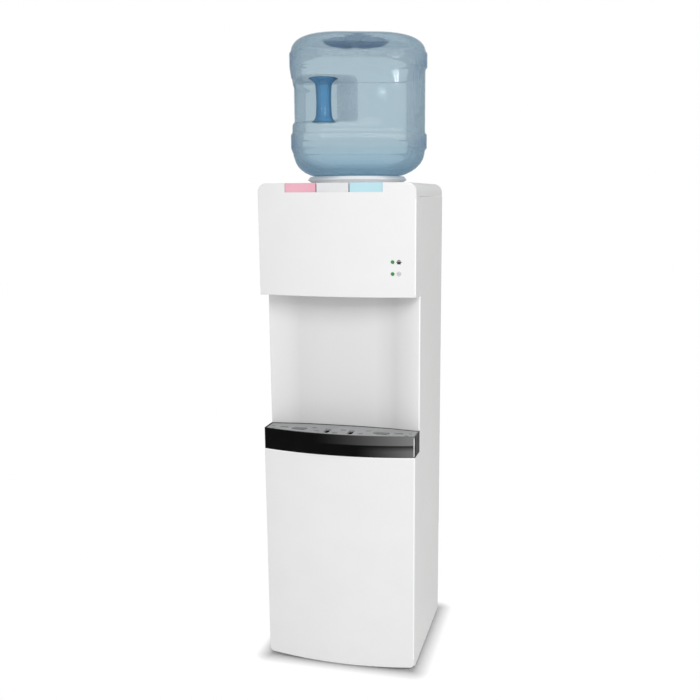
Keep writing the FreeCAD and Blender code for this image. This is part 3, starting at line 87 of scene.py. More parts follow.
class Paint:
    """A node material with a Principled shader, in object coordinates, which are metres."""

    def __init__(self, name, **sockets):
        self.material = bpy.data.materials.new(name)
        self.material.use_nodes = True
        self.tree = self.material.node_tree
        self.tree.nodes.clear()
        self.out = self.tree.nodes.new("ShaderNodeOutputMaterial")
        self.bsdf = self.tree.nodes.new("ShaderNodeBsdfPrincipled")
        self.surface(self.bsdf.outputs[0])
        self.coord = self.tree.nodes.new("ShaderNodeTexCoord").outputs["Object"]
        for key, value in sockets.items():
            self.bsdf.inputs[key.replace("_", " ")].default_value = value

    def surface(self, shader):
        self.feed(self.out.inputs["Surface"], shader)

    def feed(self, socket, value):
        """Links a node's output into a socket, or sets the socket's own value."""
        if isinstance(value, bpy.types.NodeSocket):
            self.tree.links.new(value, socket)
        else:
            socket.default_value = value

    def node(self, kind, **inputs):
        made = self.tree.nodes.new("ShaderNode" + kind)
        for key, value in inputs.items():
            self.feed(made.inputs[key.replace("_", " ")], value)
        return made

    def operate(self, kind, operation, values):
        made = self.tree.nodes.new("ShaderNode" + kind)
        made.operation = operation
        for socket, value in zip(made.inputs, values):
            self.feed(socket, value)
        return made.outputs

    def maths(self, operation, *values):
        return self.operate("Math", operation, values)[0]

    def vector(self, operation, *values):
        return self.operate("VectorMath", operation, values)["Value" if operation == "LENGTH" else "Vector"]

    def mix_shader(self, share, first, second):
        """The first shader where share is 0 and the second where it is 1."""
        made = self.node("MixShader")
        for socket, value in zip(made.inputs, (share, first, second)):
            self.feed(socket, value)
        return made.outputs[0]

    def axes(self):
        """The object coordinates as sockets named X, Y and Z."""
        return self.node("SeparateXYZ", Vector=self.coord).outputs

    def noise(self, scale, detail=3.0, roughness=0.55, stretch=None):
        vector = self.coord
        if stretch is not None:
            vector = self.node("Mapping", Vector=self.coord, Scale=stretch).outputs[0]
        made = self.node("TexNoise", Vector=vector, Scale=scale, Detail=detail, Roughness=roughness)
        return made.outputs["Fac"]

    def cells(self, scale, feature="F1"):
        made = self.node("TexVoronoi", Vector=self.coord, Scale=scale)
        made.feature = feature
        return made.outputs

    def ramp(self, factor, stops):
        made = self.node("ValToRGB", Fac=factor)
        band = made.color_ramp
        while len(band.elements) < len(stops):
            band.elements.new(0.5)
        for element, (spot, colour) in zip(band.elements, stops):
            element.position = spot
            element.color = (*colour, 1.0)
        return made.outputs["Color"]

    def span(self, factor, low, high, start=0.3, end=0.7):
        """Goes from low to high as the factor goes from start to end, and stays level past them."""
        made = self.node("MapRange", Value=factor)
        made.inputs["From Min"].default_value = start
        made.inputs["From Max"].default_value = end
        made.inputs["To Min"].default_value = low
        made.inputs["To Max"].default_value = high
        return made.outputs["Result"]

    def colour(self, factor, dark, light, start=0.35, end=0.65):
        self.feed(self.bsdf.inputs["Base Color"], self.ramp(factor, [(start, dark), (end, light)]))

    def rough(self, factor, low, high):
        self.feed(self.bsdf.inputs["Roughness"], self.span(factor, low, high))

    def bump(self, height, distance, strength=1.0):
        made = self.node("Bump", Height=height, Strength=strength, Distance=distance)
        self.feed(self.bsdf.inputs["Normal"], made.outputs["Normal"])


FAINT_GRAIN = 220.0
FAINT_DEPTH = 0.000003
PEEL_GRAIN = 420.0
MARK_DEPTH = 0.00001
# The tray's lip, where painted shade under the lip weakens the lower face's painted sheen, and where the
# painted sheen starts and ends over X, in metres
LIP = (0.4725, 0.4745)
LIP_SHADE_SPAN = (0.462, 0.4725)
UPPER_SHEEN_SPAN = (-0.05, 0.15)
LOWER_SHEEN_SPAN = (0.04, 0.15)
SHEEN_CUT_SPAN = (0.1530, 0.1536)
# The liner's painted shading from its left side to its right: lighter at the sides, with darker bands where
# the alcove's curve turns
LINER_PAINTED_SHADING = (
    (0.0, 0.80), (0.12, 0.76), (0.2, 0.70), (0.36, 0.73),
    (0.7, 0.75), (0.84, 0.66), (0.93, 0.74), (1.0, 0.82))
# The bottle's foot and the top of its deeper tint, in metres
FOOT = 0.985
FOOT_END = 1.06
BAND_TINT = (0.91, 0.92, 0.965)


def moulded(name, dark, light, rough=(0.3, 0.4), grain=900.0, depth=0.00002):
    """Moulded plastic: faint cloudiness, a fine spark-eroded grain and uneven gloss."""
    paint = Paint(name)
    paint.colour(paint.noise(14.0, 4.0), dark, light)
    paint.rough(paint.noise(60.0), *rough)
    paint.bump(paint.noise(grain, 2.0), depth)
    return paint.material


def black_with_painted_sheen(name):
    """Black moulding with a painted sheen: its coat is weighted none at its left end and more towards the
    right, most on its upper lip.
    """
    paint = Paint(name, Specular_IOR_Level=0.06, Coat_IOR=2.6, Coat_Roughness=0.14)
    paint.colour(paint.noise(30.0), (0.0012, 0.0012, 0.0013), (0.0022, 0.0022, 0.0023))
    paint.rough(paint.noise(80.0), 0.3, 0.4)
    axes = paint.axes()
    # Painted sheen: the coat's weight rises with X, most on the upper lip, and is cut off past the front's
    # right end
    upper = paint.maths("POWER", paint.span(axes["X"], 0.0, 1.0, *UPPER_SHEEN_SPAN), 1.7)
    lower = paint.maths("POWER", paint.span(axes["X"], 0.0, 0.85, *LOWER_SHEEN_SPAN), 1.5)
    # Painted shade under the lip: the lower face's sheen weakens towards the lip
    lower = paint.maths("MULTIPLY", lower, paint.span(axes["Z"], 1.0, 0.1, *LIP_SHADE_SPAN))
    sheen_mix = paint.node("Mix", Factor=paint.span(axes["Z"], 0.0, 1.0, *LIP))
    paint.feed(sheen_mix.inputs["A"], lower)
    paint.feed(sheen_mix.inputs["B"], upper)
    front = paint.span(axes["X"], 1.0, 0.0, *SHEEN_CUT_SPAN)
    paint.feed(paint.bsdf.inputs["Coat Weight"], paint.maths("MULTIPLY", sheen_mix.outputs["Result"], front))
    return paint.material


def liner(name):
    """White moulding with shading painted across it, darker in bands where the alcove's curve turns."""
    paint = Paint(name, Roughness=0.36)
    across = paint.span(paint.axes()["X"], 0.0, 1.0, -HALF * MM, HALF * MM)
    shaded_tones = paint.ramp(across, [(spot, grey(tone)) for spot, tone in LINER_PAINTED_SHADING])
    paint.feed(paint.bsdf.inputs["Base Color"], shaded_tones)
    paint.bump(paint.noise(FAINT_GRAIN, 2.0), FAINT_DEPTH)
    return paint.material


def coated(name, dark, light, rough=(0.38, 0.5), depth=0.00006):
    """Powder coat on sheet metal: a pebbled skin, slightly uneven."""
    paint = Paint(name)
    paint.colour(paint.noise(9.0), dark, light)
    paint.rough(paint.noise(35.0), *rough)
    paint.bump(paint.cells(PEEL_GRAIN, "SMOOTH_F1")["Distance"], depth, 0.6)
    return paint.material


def metal(name, dark, light, rough=(0.22, 0.4), stretch=(1.0, 1.0, 40.0), scale=60.0):
    """Bare metal with drawing or rolling marks along one direction."""
    paint = Paint(name, Metallic=1.0)
    lines = paint.noise(scale, 5.0, 0.7, stretch)
    paint.colour(lines, dark, light, 0.25, 0.75)
    paint.rough(lines, *rough)
    paint.bump(lines, MARK_DEPTH)
    return paint.material


def zinc(name):
    """Zinc plate with a faint crystalline spangle."""
    paint = Paint(name, Metallic=1.0)
    spangle = paint.cells(70.0)["Color"]
    tone = paint.node("SeparateColor", Color=spangle).outputs["Red"]
    paint.colour(tone, (0.47, 0.48, 0.50), (0.66, 0.67, 0.69), 0.0, 1.0)
    paint.rough(tone, 0.32, 0.5)
    paint.bump(paint.noise(500.0, 2.0), 0.00002)
    return paint.material


def foam_bead(name):
    """Bead foam: pale cells with sunk joints."""
    paint = Paint(name, Roughness=0.85)
    beads = paint.cells(260.0)["Distance"]
    paint.colour(beads, (0.62, 0.62, 0.58), (0.86, 0.86, 0.82), 0.1, 0.6)
    paint.bump(beads, -0.0006, 0.8)
    return paint.material


def rubber(name, tone=0.018):
    paint = Paint(name)
    paint.colour(paint.noise(40.0), grey(tone), grey(tone * 1.9))
    paint.rough(paint.noise(120.0), 0.55, 0.75)
    paint.bump(paint.noise(700.0), 0.00005)
    return paint.material


def bottle_tint(paint, tint, facing, foot):
    """Deepens a tint by foot at the bottle's foot, and over its two bands where they are seen edge on."""
    height = paint.axes()["Z"]
    low = paint.ramp(paint.span(height, 0.0, 1.0, FOOT, FOOT_END), [(0.0, foot), (1.0, WHITE)])
    stops = []
    for base in BAND_LOWS:
        for rise, tone in ((-0.5, BLACK), (0.85, WHITE), (BAND_TALL - 0.7, WHITE), (BAND_TALL + 0.6, BLACK)):
            stops.append((((base + rise) * MM - FOOT) / (BOTTLE_TOP * MM - FOOT), tone))
    bands = paint.ramp(paint.span(height, 0.0, 1.0, FOOT, BOTTLE_TOP * MM), stops)
    bands = paint.maths("MULTIPLY", bands, paint.span(facing, 0.0, 1.0, 0.12, 0.5))
    tint = paint.vector("MULTIPLY", tint, low)
    return paint.vector("MULTIPLY", tint, paint.ramp(bands, [(0.0, WHITE), (1.0, BAND_TINT)]))


def see_through(name, clear, edge, body, haze, rough=0.08, ior=1.58, ripple=0.0004, gloss=0.75, foot=None):
    """Thin clear plastic: it tints what is behind it, more where it is seen edge on.

    Its own surface, in the body colour, shows by haze and by gloss times the reflection.
    """
    paint = Paint(name, Roughness=rough, IOR=ior)
    waves = paint.noise(16.0, 2.0, 0.5, (1.0, 1.0, 0.55))
    swell = paint.node("Bump", Height=waves, Strength=1.0, Distance=ripple).outputs["Normal"]
    paint.feed(paint.bsdf.inputs["Normal"], swell)
    paint.colour(paint.noise(22.0), body, tuple(min(1.0, c * 1.12) for c in body))
    facing = paint.node("LayerWeight", Blend=0.35).outputs["Facing"]
    between = tuple((a + b * 7) / 8 for a, b in zip(edge, clear))
    tint = paint.ramp(facing, [(0.0, clear), (0.85, between), (1.0, edge)])
    if foot:
        tint = bottle_tint(paint, tint, facing, foot)
    window = paint.node("BsdfTransparent", Color=tint).outputs[0]
    fresnel = paint.node("Fresnel", IOR=ior, Normal=swell).outputs[0]
    share = paint.maths("MULTIPLY_ADD", fresnel, gloss, haze)
    paint.surface(paint.mix_shader(share, window, paint.bsdf.outputs[0]))
    return paint.material


EVEN_GLOSS = (0.295, 0.305)
FINISH = {
    "white_plastic": moulded(
        "white_moulding", (0.82, 0.82, 0.822), (0.835, 0.835, 0.837), EVEN_GLOSS, FAINT_GRAIN, FAINT_DEPTH),
    "side_steel": coated("side_coat", (0.82, 0.82, 0.815), (0.835, 0.835, 0.83), depth=0.00001),
    "rear_steel": coated("rear_coat", (0.47, 0.48, 0.49), (0.52, 0.53, 0.54), (0.42, 0.55)),
    "zinc_steel": zinc("zinc_plate"),
    "tray_black": black_with_painted_sheen("black_moulding"),
    "grille_grey": moulded(
        "grille_moulding", (0.34, 0.345, 0.35), (0.38, 0.385, 0.39), (0.38, 0.5), 1100.0, 0.00001),
    "hot_pink": moulded("pale_red_moulding", (0.80, 0.40, 0.49), (0.86, 0.46, 0.55)),
    "room_white": moulded("off_white_moulding", (0.73, 0.735, 0.745), (0.78, 0.785, 0.79)),
    "cold_blue": moulded("pale_blue_moulding", (0.47, 0.72, 0.80), (0.51, 0.76, 0.83), (0.3, 0.34)),
    "cap_white": moulded("cap_moulding", (0.66, 0.74, 0.82), (0.72, 0.79, 0.86), (0.4, 0.5)),
    "liner_white": liner("liner_moulding"),
    "valve_white": moulded("valve_moulding", (0.72, 0.72, 0.70), (0.80, 0.80, 0.78), (0.35, 0.45)),
    "spring_steel": metal("spring_wire", (0.50, 0.51, 0.53), (0.68, 0.69, 0.70)),
    "board_green": moulded("circuit_board", (0.02, 0.14, 0.05), (0.04, 0.20, 0.08), (0.35, 0.45), 1500.0),
    "foam": foam_bead("bead_foam"),
    "stainless": metal(
        "spun_stainless", (0.52, 0.52, 0.53), (0.70, 0.70, 0.71), (0.2, 0.36), (1.0, 1.0, 60.0)),
    "copper": metal(
        "drawn_copper", (0.60, 0.27, 0.15), (0.83, 0.45, 0.29), (0.25, 0.42), (1.0, 1.0, 6.0)),
    "coil_black": moulded(
        "black_enamel", (0.008, 0.008, 0.009), (0.016, 0.016, 0.017), (0.3, 0.45), 300.0, 0.00004),
    "compressor_black": moulded(
        "shell_enamel", (0.008, 0.008, 0.009), (0.018, 0.018, 0.019), (0.25, 0.4), 160.0, 0.0001),
    "rubber_black": rubber("black_rubber"),
    "switch_black": moulded(
        "black_switch_moulding", (0.012, 0.012, 0.013), (0.02, 0.02, 0.021), (0.4, 0.52), 900.0, 0.00004),
    "hot_rocker": moulded("red_rocker", (0.40, 0.02, 0.02), (0.50, 0.035, 0.03), (0.25, 0.35)),
    "cold_rocker": moulded("green_rocker", (0.02, 0.22, 0.07), (0.035, 0.29, 0.10), (0.25, 0.35)),
    "mica": metal(
        "mica_band", (0.40, 0.36, 0.28), (0.58, 0.54, 0.45), (0.35, 0.5), (1.0, 1.0, 4.0), 300.0),
    "hose_clear": see_through(
        "milky_silicone", (0.88, 0.89, 0.88), (0.6, 0.62, 0.6), (0.80, 0.81, 0.79),
        haze=0.45, rough=0.3, ior=1.42, ripple=0.0),
    "lens_green": see_through(
        "green_lens", (0.16, 0.62, 0.20), (0.03, 0.30, 0.06), (0.10, 0.50, 0.14),
        haze=0.5, ior=1.5, ripple=0.0),
    "bottle_blue": see_through(
        "blue_polycarbonate", (0.815, 0.868, 0.89), (0.44, 0.52, 0.64), (0.47, 0.58, 0.65),
        haze=0.05, rough=0.05, gloss=0.3, foot=(0.86, 0.925, 0.965)),
}
GRIP = see_through("blue_grip", (0.62, 0.80, 0.91), (0.20, 0.36, 0.56), (0.22, 0.48, 0.70), haze=0.22)
PUNT = see_through("blue_punt", (0.66, 0.76, 0.86), (0.24, 0.34, 0.52), (0.26, 0.40, 0.58), haze=0.10)
# The collar's white is painted lighter than the other white mouldings, to lift the shade the bottle casts on
# it
COLLAR_PAINTED_LIGHT = moulded("collar_moulding_painted_light", grey(0.94), grey(0.96), (0.4, 0.42), FAINT_GRAIN, FAINT_DEPTH)
# Near-white gloss for the laths, which are painted highlights along rounded edges
EDGE_HIGHLIGHT = moulded("painted_edge_highlight", grey(0.96), grey(0.98), (0.2, 0.21), FAINT_GRAIN, FAINT_DEPTH)
INK_BLACK = moulded("black_ink", grey(0.02), grey(0.035), (0.45, 0.55), 1500.0, 0.000005)
INK_GREY = moulded("grey_ink", (0.25, 0.27, 0.30), (0.32, 0.34, 0.37), (0.45, 0.55), 1500.0, 0.000005)

OWN_FINISH = {"bottle_collar": COLLAR_PAINTED_LIGHT}
SLOT_OF = {part["node"]: part["material_slot"] for part in frame["record"]["subparts"]}
for name, thing in NODES.items():
    for slot in thing.material_slots:
        slot.material = OWN_FINISH.get(name, FINISH[SLOT_OF[name]])


# Mesh helpers

def finish_piece(mesh, name, body, slot, material=None, sharp=32.0):
    """Turns a bmesh in millimetres into a shaded piece in metres that rides on a body."""
    bmesh.ops.recalc_face_normals(mesh, faces=mesh.faces)
    data = bpy.data.meshes.new(name)
    for vertex in mesh.verts:
        vertex.co *= MM
    mesh.to_mesh(data)
    mesh.free()
    data.shade_smooth()
    data.set_sharp_from_angle(angle=math.radians(sharp))
    data.materials.append(material or FINISH[slot])
    piece = bpy.data.objects.new(name, data)
    bpy.context.scene.collection.objects.link(piece)
    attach(piece, body)
    return piece


def thicken(piece, width):
    """Gives an open skin a wall on its inner side."""
    wall = piece.modifiers.new("wall", "SOLIDIFY")
    wall.thickness = width * MM
    wall.offset = -1.0


def skin(mesh, rings):
    """Joins closed rings of equal length with quads; returns their vertices."""
    made = [[mesh.verts.new(spot) for spot in ring] for ring in rings]
    for low, high in zip(made, made[1:]):
        for i in range(len(low)):
            j = (i + 1) % len(low)
            mesh.faces.new((low[i], low[j], high[j], high[i]))
    return made


# Bottle: a hollow rounded square, neck down, with two bands, a sunk panel, a grip recess and a punt

TURN = math.radians(18.0)
BOTTLE_WALL = 1.3
CORNER = 56.0
BAND_HALF = 131.0
WAIST_HALF = 127.8
WAIST_CORNER = 55.0
WAIST_STEP = 2.4
DOME_HALF = 128.2
DOME_STEPS = 18
DOME_PULL = 56.0
DOME_CORNER_PULL = 6.0
NECK = (
    (938.0, 27.5), (944.0, 27.5), (944.6, 28.8), (948.0, 28.8), (948.6, 27.5), (961.0, 27.5),
    (963.5, 29.5), (969.0, 37.0), (975.0, 46.0), (981.0, 55.5), (983.2, 59.5))
FLAT_R = 61.0
FLAT_BLENDS = (0.25, 0.6, 0.85)
SHOULDER = (
    (0.0, 80.0, 64.0), (1.2, 86.0, 66.0), (4.0, 95.0, 66.0), (9.0, 105.0, 64.0), (15.0, 113.0, 61.0),
    (22.0, 119.5, 58.5), (30.0, 124.0, 57.0), (38.0, 126.5, 56.2), (45.0, 127.4, 56.0))
PUNT_PROFILE = (
    (0.97, 0.2), (0.93, 1.2), (0.88, 3.4), (0.82, 6.2), (0.74, 8.8),
    (0.62, 10.6), (0.45, 11.8), (0.25, 12.5), (0.08, 12.8))
PUNT_POLE = 12.9
PUNT_RIBS = 8
PUNT_RIB = 1.3
PUNT_DEPTH = 14.5
PUNT_R = 66.0

GRIP_BEARING = math.radians(251.0)
GRIP_R = 112.0
GRIP_LOW = 1086.0
GRIP_HIGH = 1161.0
GRIP_STEPS = 46
GRIP_POINTS = 48
GRIP_WALL = 1.6
GRIP_ROOT = 3.0
GRIP_FLAT = 0.92
# The column's radius: its plain middle, how it pinches there, and its flares at the roof and the floor
GRIP_PLAIN_R = 13.3
GRIP_PINCH = 0.7
GRIP_PINCH_TALL = 42.0
GRIP_PLAIN_REACH = 22.0
GRIP_FLARE_TALL = 17.5
GRIP_FLARE_ROOF = 11.0
GRIP_FLARE_FLOOR = 6.5
# The recess: the wall's distance from the axis, how its sides spread, and how softly it starts
RECESS_BACK = 63.0
RECESS_SPREAD = 0.56
RECESS_ROUND = 260.0
RECESS_EASE = 5.0
MOUTH = 40.0
MOUTH_ROUND = 40.0
# The mesh's steps round the bottle, in degrees, each up to an angle away from the finest spot
FINE_BEARING = 250.0
MESH_STEPS = ((34.0, 0.6), (75.0, 1.2), (181.0, 1.8))
# The sunk panel: its ends and its deeper half, in degrees from the grip, its foot and head, and its depths
PANEL_START = (-118.0, -100.0)
PANEL_END = (44.0, 62.0)
PANEL_STEP = (-60.0, -20.0)
PANEL_FOOT = (GRIP_LOW - 14, GRIP_LOW + 6)
PANEL_HEAD = (GRIP_HIGH - 2, GRIP_HIGH + 12)
PANEL_SINK = 1.8
PANEL_SINK_MORE = 3.6


def square_reach(bearing, half, corner):
    """Distance from the axis to a round-cornered square in that bearing."""
    quarter = math.pi / 2
    a = abs((bearing - TURN + quarter / 2) % quarter - quarter / 2)
    if half * math.tan(a) <= half - corner:
        return half / math.cos(a)
    d = (half - corner) * math.sqrt(2)
    phi = math.pi / 4 - a
    return d * math.cos(phi) + math.sqrt(max(0.0, corner ** 2 - (d * math.sin(phi)) ** 2))


def band_profile(low):
    """(height, half side, corner radius) over a raised band that starts at low."""
    return [(low + rise, half, CORNER) for rise, half in (
        (-2.6, 128.4), (-1.2, 129.2), (0.2, 130.5), (1.6, BAND_HALF), (BAND_TALL / 2, BAND_HALF),
        (BAND_TALL - 1.6, BAND_HALF), (BAND_TALL - 0.2, 130.5), (BAND_TALL + 1.2, 129.2))]


def waist_profile():
    """(height, half side, corner radius) of the wall between the bands."""
    low = BAND_LOWS[0] + BAND_TALL
    high = BAND_LOWS[1]
    stops = [(low + 3.5, 128.2, WAIST_CORNER)]
    z = low + 8
    while z < high - 8:
        stops.append((z, WAIST_HALF, WAIST_CORNER))
        z += WAIST_STEP
    return stops + [(high - 5, 128.0, WAIST_CORNER)]


def dome_profile():
    """(height, half side, corner radius) from the upper band to the base's rim."""
    low = BAND_LOWS[1] + BAND_TALL + 1.2
    stops = []
    for step in range(1, DOME_STEPS + 1):
        angle = math.pi / 2 * step / DOME_STEPS
        drawn = 1 - math.cos(angle)
        stops.append((
            low + (BOTTLE_TOP - low) * math.sin(angle), DOME_HALF - DOME_PULL * drawn,
            CORNER - DOME_CORNER_PULL * drawn))
    return stops


def wall_profile():
    """(height, half side, corner radius) from the shoulder to the base's rim."""
    shoulder = [(SEAT + rise, half, corner) for rise, half, corner in SHOULDER]
    lower, upper = (band_profile(low) for low in BAND_LOWS)
    return shoulder + lower + waist_profile() + upper + dome_profile()


def bearings():
    """Bearings round the bottle, closer together near the grip recess."""
    found = []
    angle = 0.0
    while angle < 360.0:
        found.append(math.radians(angle))
        away = abs((angle - FINE_BEARING + 180.0) % 360.0 - 180.0)
        angle += next(step for reach, step in MESH_STEPS if away < reach)
    return found


def recess_pull(over):
    """How far a wall point that lies over the recess's floor goes in, eased at the mouth."""
    if over <= -MOUTH:
        return 0.0
    start = 0.5 * (math.sqrt(MOUTH * MOUTH + MOUTH_ROUND) - MOUTH)
    return 0.5 * (over + math.sqrt(over * over + MOUTH_ROUND)) - start


def hollowed(bearing, reach, z):
    """The wall point's x and y from the axis, moved in for the recess, a trough with sloping sides."""
    turned = bearing - GRIP_BEARING
    u = reach * math.cos(turned)
    v = reach * math.sin(turned)
    if u > 0:
        up = smooth(GRIP_LOW - RECESS_EASE, GRIP_LOW + RECESS_EASE, z)
        up *= 1 - smooth(GRIP_HIGH - RECESS_EASE, GRIP_HIGH + RECESS_EASE, z)
        floor = RECESS_BACK + RECESS_SPREAD * math.sqrt(v * v + RECESS_ROUND)
        u -= recess_pull(u - floor) * up
    c, s = math.cos(GRIP_BEARING), math.sin(GRIP_BEARING)
    return u * c - v * s, u * s + v * c


def panelled(bearing, z):
    """How far the wall is sunk between the bands on the grip's two faces."""
    turned = math.degrees((bearing - GRIP_BEARING + math.pi) % math.tau - math.pi)
    side = smooth(*PANEL_START, turned) * (1 - smooth(*PANEL_END, turned))
    up = smooth(*PANEL_FOOT, z) * (1 - smooth(*PANEL_HEAD, z))
    return (PANEL_SINK + PANEL_SINK_MORE * (1 - smooth(*PANEL_STEP, turned))) * side * up


def ring_at(around, reaches, z):
    """A ring of points about the bottle's axis, at one height."""
    return [
        Vector((reach * math.cos(b), reach * math.sin(b) + AXIS_Y, z))
        for b, reach in zip(around, reaches)]


def neck_rings(around):
    """The neck with its bead and cone, and the flat ring out to the shoulder."""
    rings = [ring_at(around, [radius] * len(around), z) for z, radius in NECK]
    _, half, corner = SHOULDER[0]
    for blend in FLAT_BLENDS:
        reaches = [FLAT_R + (square_reach(b, half, corner) - FLAT_R) * blend for b in around]
        rings.append(ring_at(around, reaches, SEAT))
    return rings


def wall_rings(around):
    """The wall from the shoulder to the base's rim, with its recess and sunk panel."""
    rings = []
    for z, half, corner in wall_profile():
        ring = []
        for b in around:
            x, y = hollowed(b, square_reach(b, half, corner) - panelled(b, z), z)
            ring.append(Vector((x, y + AXIS_Y, z)))
        rings.append(ring)
    return rings


def punt_rings(around, rim):
    """The base's dished middle with shallow ribs, drawn in from the rim."""
    rings = []
    for share, drop in PUNT_PROFILE:
        ribbed = PUNT_RIB * math.sin(math.pi * share) ** 2 if drop > 1 else 0.0
        ring = []
        for b, spot in zip(around, rim):
            z = BOTTLE_TOP - drop + ribbed * math.cos(PUNT_RIBS * (b - TURN))
            ring.append(Vector((spot.x * share, (spot.y - AXIS_Y) * share + AXIS_Y, z)))
        rings.append(ring)
    return rings


def make_bottle():
    """The whole shell, with the punt's faces in their own tint."""
    mesh = bmesh.new()
    around = bearings()
    rings = neck_rings(around) + wall_rings(around)
    last = skin(mesh, rings + punt_rings(around, rings[-1]))[-1]
    pole = mesh.verts.new((0, AXIS_Y, BOTTLE_TOP - PUNT_POLE))
    for i in range(len(last)):
        mesh.faces.new((last[i], last[(i + 1) % len(last)], pole))
    piece = finish_piece(mesh, "bottle_shell", "bottle", "bottle_blue", sharp=80.0)
    piece.data.materials.append(PUNT)
    for face in piece.data.polygons:
        away = face.center - Vector((0.0, AXIS_Y * MM, face.center.z))
        if face.center.z > (BOTTLE_TOP - PUNT_DEPTH) * MM and away.length < PUNT_R * MM:
            face.material_index = 1
    thicken(piece, BOTTLE_WALL)
    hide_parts("bottle")


def grip_radius(z):
    """The column's radius: slightly waisted, and flared more at its roof than at its floor."""
    middle = (GRIP_LOW + GRIP_HIGH) / 2
    near_end = max(0.0, abs(z - middle) - GRIP_PLAIN_REACH) / GRIP_FLARE_TALL
    flare = (GRIP_FLARE_ROOF if z > middle else GRIP_FLARE_FLOOR) * near_end ** 3.0
    return GRIP_PLAIN_R + flare - GRIP_PINCH * math.cos(math.pi * (z - middle) / GRIP_PINCH_TALL)


def make_grip():
    """The column across the recess, rooted in its roof and floor."""
    mesh = bmesh.new()
    rings = []
    centre_x = GRIP_R * math.cos(GRIP_BEARING)
    centre_y = GRIP_R * math.sin(GRIP_BEARING) + AXIS_Y
    for i in range(GRIP_STEPS + 1):
        z = GRIP_LOW - GRIP_ROOT + (GRIP_HIGH - GRIP_LOW + 2 * GRIP_ROOT) * i / GRIP_STEPS
        radius = grip_radius(z)
        ring = []
        for k in range(GRIP_POINTS):
            a = math.tau * k / GRIP_POINTS
            ring.append(Vector((
                centre_x + radius * math.cos(a), centre_y + radius * GRIP_FLAT * math.sin(a), z)))
        rings.append(ring)
    skin(mesh, rings)
    piece = finish_piece(mesh, "bottle_grip", "bottle", "bottle_blue", GRIP, 80.0)
    thicken(piece, GRIP_WALL)


make_bottle()
make_grip()


# How far thin raised pieces stand proud of a front, and how far they go into it

PROUD = 0.12
SUNK = 0.4


# Pictograms beside the lamps, moulded proud in dark ink on the bowed fascia

POT_PLACE = (122.9, 825.5)
FLAKE_PLACE = (122.9, 803.4)
FLAKE_R = 4.7
FLAKE_FORK = 2.7
FLAKE_BRANCH = 1.8


def decal(name, outlines, material, centre):
    """Thin raised shapes that follow the fascia's bow, from outlines in millimetres."""
    mesh = bmesh.new()
    for outline in outlines:
        places = [(centre[0] + x, centre[1] + z) for x, z in outline]
        front = [mesh.verts.new((x, bow_y(x) - PROUD, z)) for x, z in places]
        back = [mesh.verts.new((x, bow_y(x) + SUNK, z)) for x, z in places]
        mesh.faces.new(front)
        mesh.faces.new(list(reversed(back)))
        for i in range(len(outline)):
            j = (i + 1) % len(outline)
            mesh.faces.new((front[j], front[i], back[i], back[j]))
    finish_piece(mesh, name, "cabinet", "white_plastic", material)


def bar(x0, z0, x1, z1, width):
    """A straight stroke as a four-point outline."""
    run = Vector((x1 - x0, z1 - z0))
    side = Vector((-run.y, run.x)).normalized() * width / 2
    return [
        (x0 + side.x, z0 + side.y), (x1 + side.x, z1 + side.y),
        (x1 - side.x, z1 - side.y), (x0 - side.x, z0 - side.y)]


def pot():
    """A pot with two ears and a lid with a knob."""
    return [
        [(-2.9, -4.3), (2.9, -4.3), (3.3, -3.4), (3.3, 0.8), (-3.3, 0.8), (-3.3, -3.4)],
        [(-3.8, 1.3), (3.8, 1.3), (3.0, 2.7), (-3.0, 2.7)],
        [(-0.9, 2.8), (0.9, 2.8), (0.9, 4.2), (-0.9, 4.2)],
        bar(-4.9, -0.5, -3.35, -0.5, 1.3),
        bar(3.35, -0.5, 4.9, -0.5, 1.3),
    ]


def flake():
    """Six spokes from near the middle, each forked once."""
    strokes = []
    for spoke in range(6):
        a = math.radians(60 * spoke + 30)
        c, s = math.cos(a), math.sin(a)
        strokes.append(bar(0.35 * c, 0.35 * s, FLAKE_R * c, FLAKE_R * s, 0.7))
        x, z = FLAKE_FORK * c, FLAKE_FORK * s
        for lean in (-50, 50):
            b = a + math.radians(lean)
            strokes.append(bar(x, z, x + FLAKE_BRANCH * math.cos(b), z + FLAKE_BRANCH * math.sin(b), 0.55))
    return strokes


decal("mark_pot", pot(), INK_BLACK, POT_PLACE)
decal("mark_flake", flake(), INK_GREY, FLAKE_PLACE)


# Return springs: a coil of wound wire for each button, drawn at one length

SPRING_LOW = 934.2
SPRING_HIGH = 952.2
SPRING_R = 5.5
SPRING_WIRE = 0.5
SPRING_Y = -148.0
SPRING_TURNS = 4
SPRING_STEPS = 28
SPRING_POINTS = 10
BUTTONS = (("hot", -64.4), ("room", -1.0), ("cold", 62.4))


def make_spring(name, x):
    """A coil of round wire between the guide and the rod's flange."""
    mesh = bmesh.new()
    steps = SPRING_STEPS * SPRING_TURNS
    rise = SPRING_HIGH - SPRING_LOW - 2 * SPRING_WIRE
    slope = rise / (SPRING_TURNS * math.tau * SPRING_R)
    rings = []
    for i in range(steps + 1):
        a = math.tau * SPRING_TURNS * i / steps
        out = Vector((math.cos(a), math.sin(a), 0.0))
        along = Vector((-math.sin(a), math.cos(a), slope)).normalized()
        across = along.cross(out)
        spot = Vector((x, SPRING_Y, SPRING_LOW + SPRING_WIRE + rise * i / steps)) + out * SPRING_R
        ring = []
        for k in range(SPRING_POINTS):
            b = math.tau * k / SPRING_POINTS
            ring.append(spot + (out * math.cos(b) + across * math.sin(b)) * SPRING_WIRE)
        rings.append(ring)
    made = skin(mesh, rings)
    mesh.faces.new(list(reversed(made[0])))
    mesh.faces.new(made[-1])
    piece = finish_piece(mesh, name + "_spring_coil", "cabinet", "spring_steel", sharp=50.0)
    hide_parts(name + "_return_spring")
    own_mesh(piece)


for name, x in BUTTONS:
    make_spring(name, x)


# Bright laths that stand in for the highlights along rounded edges

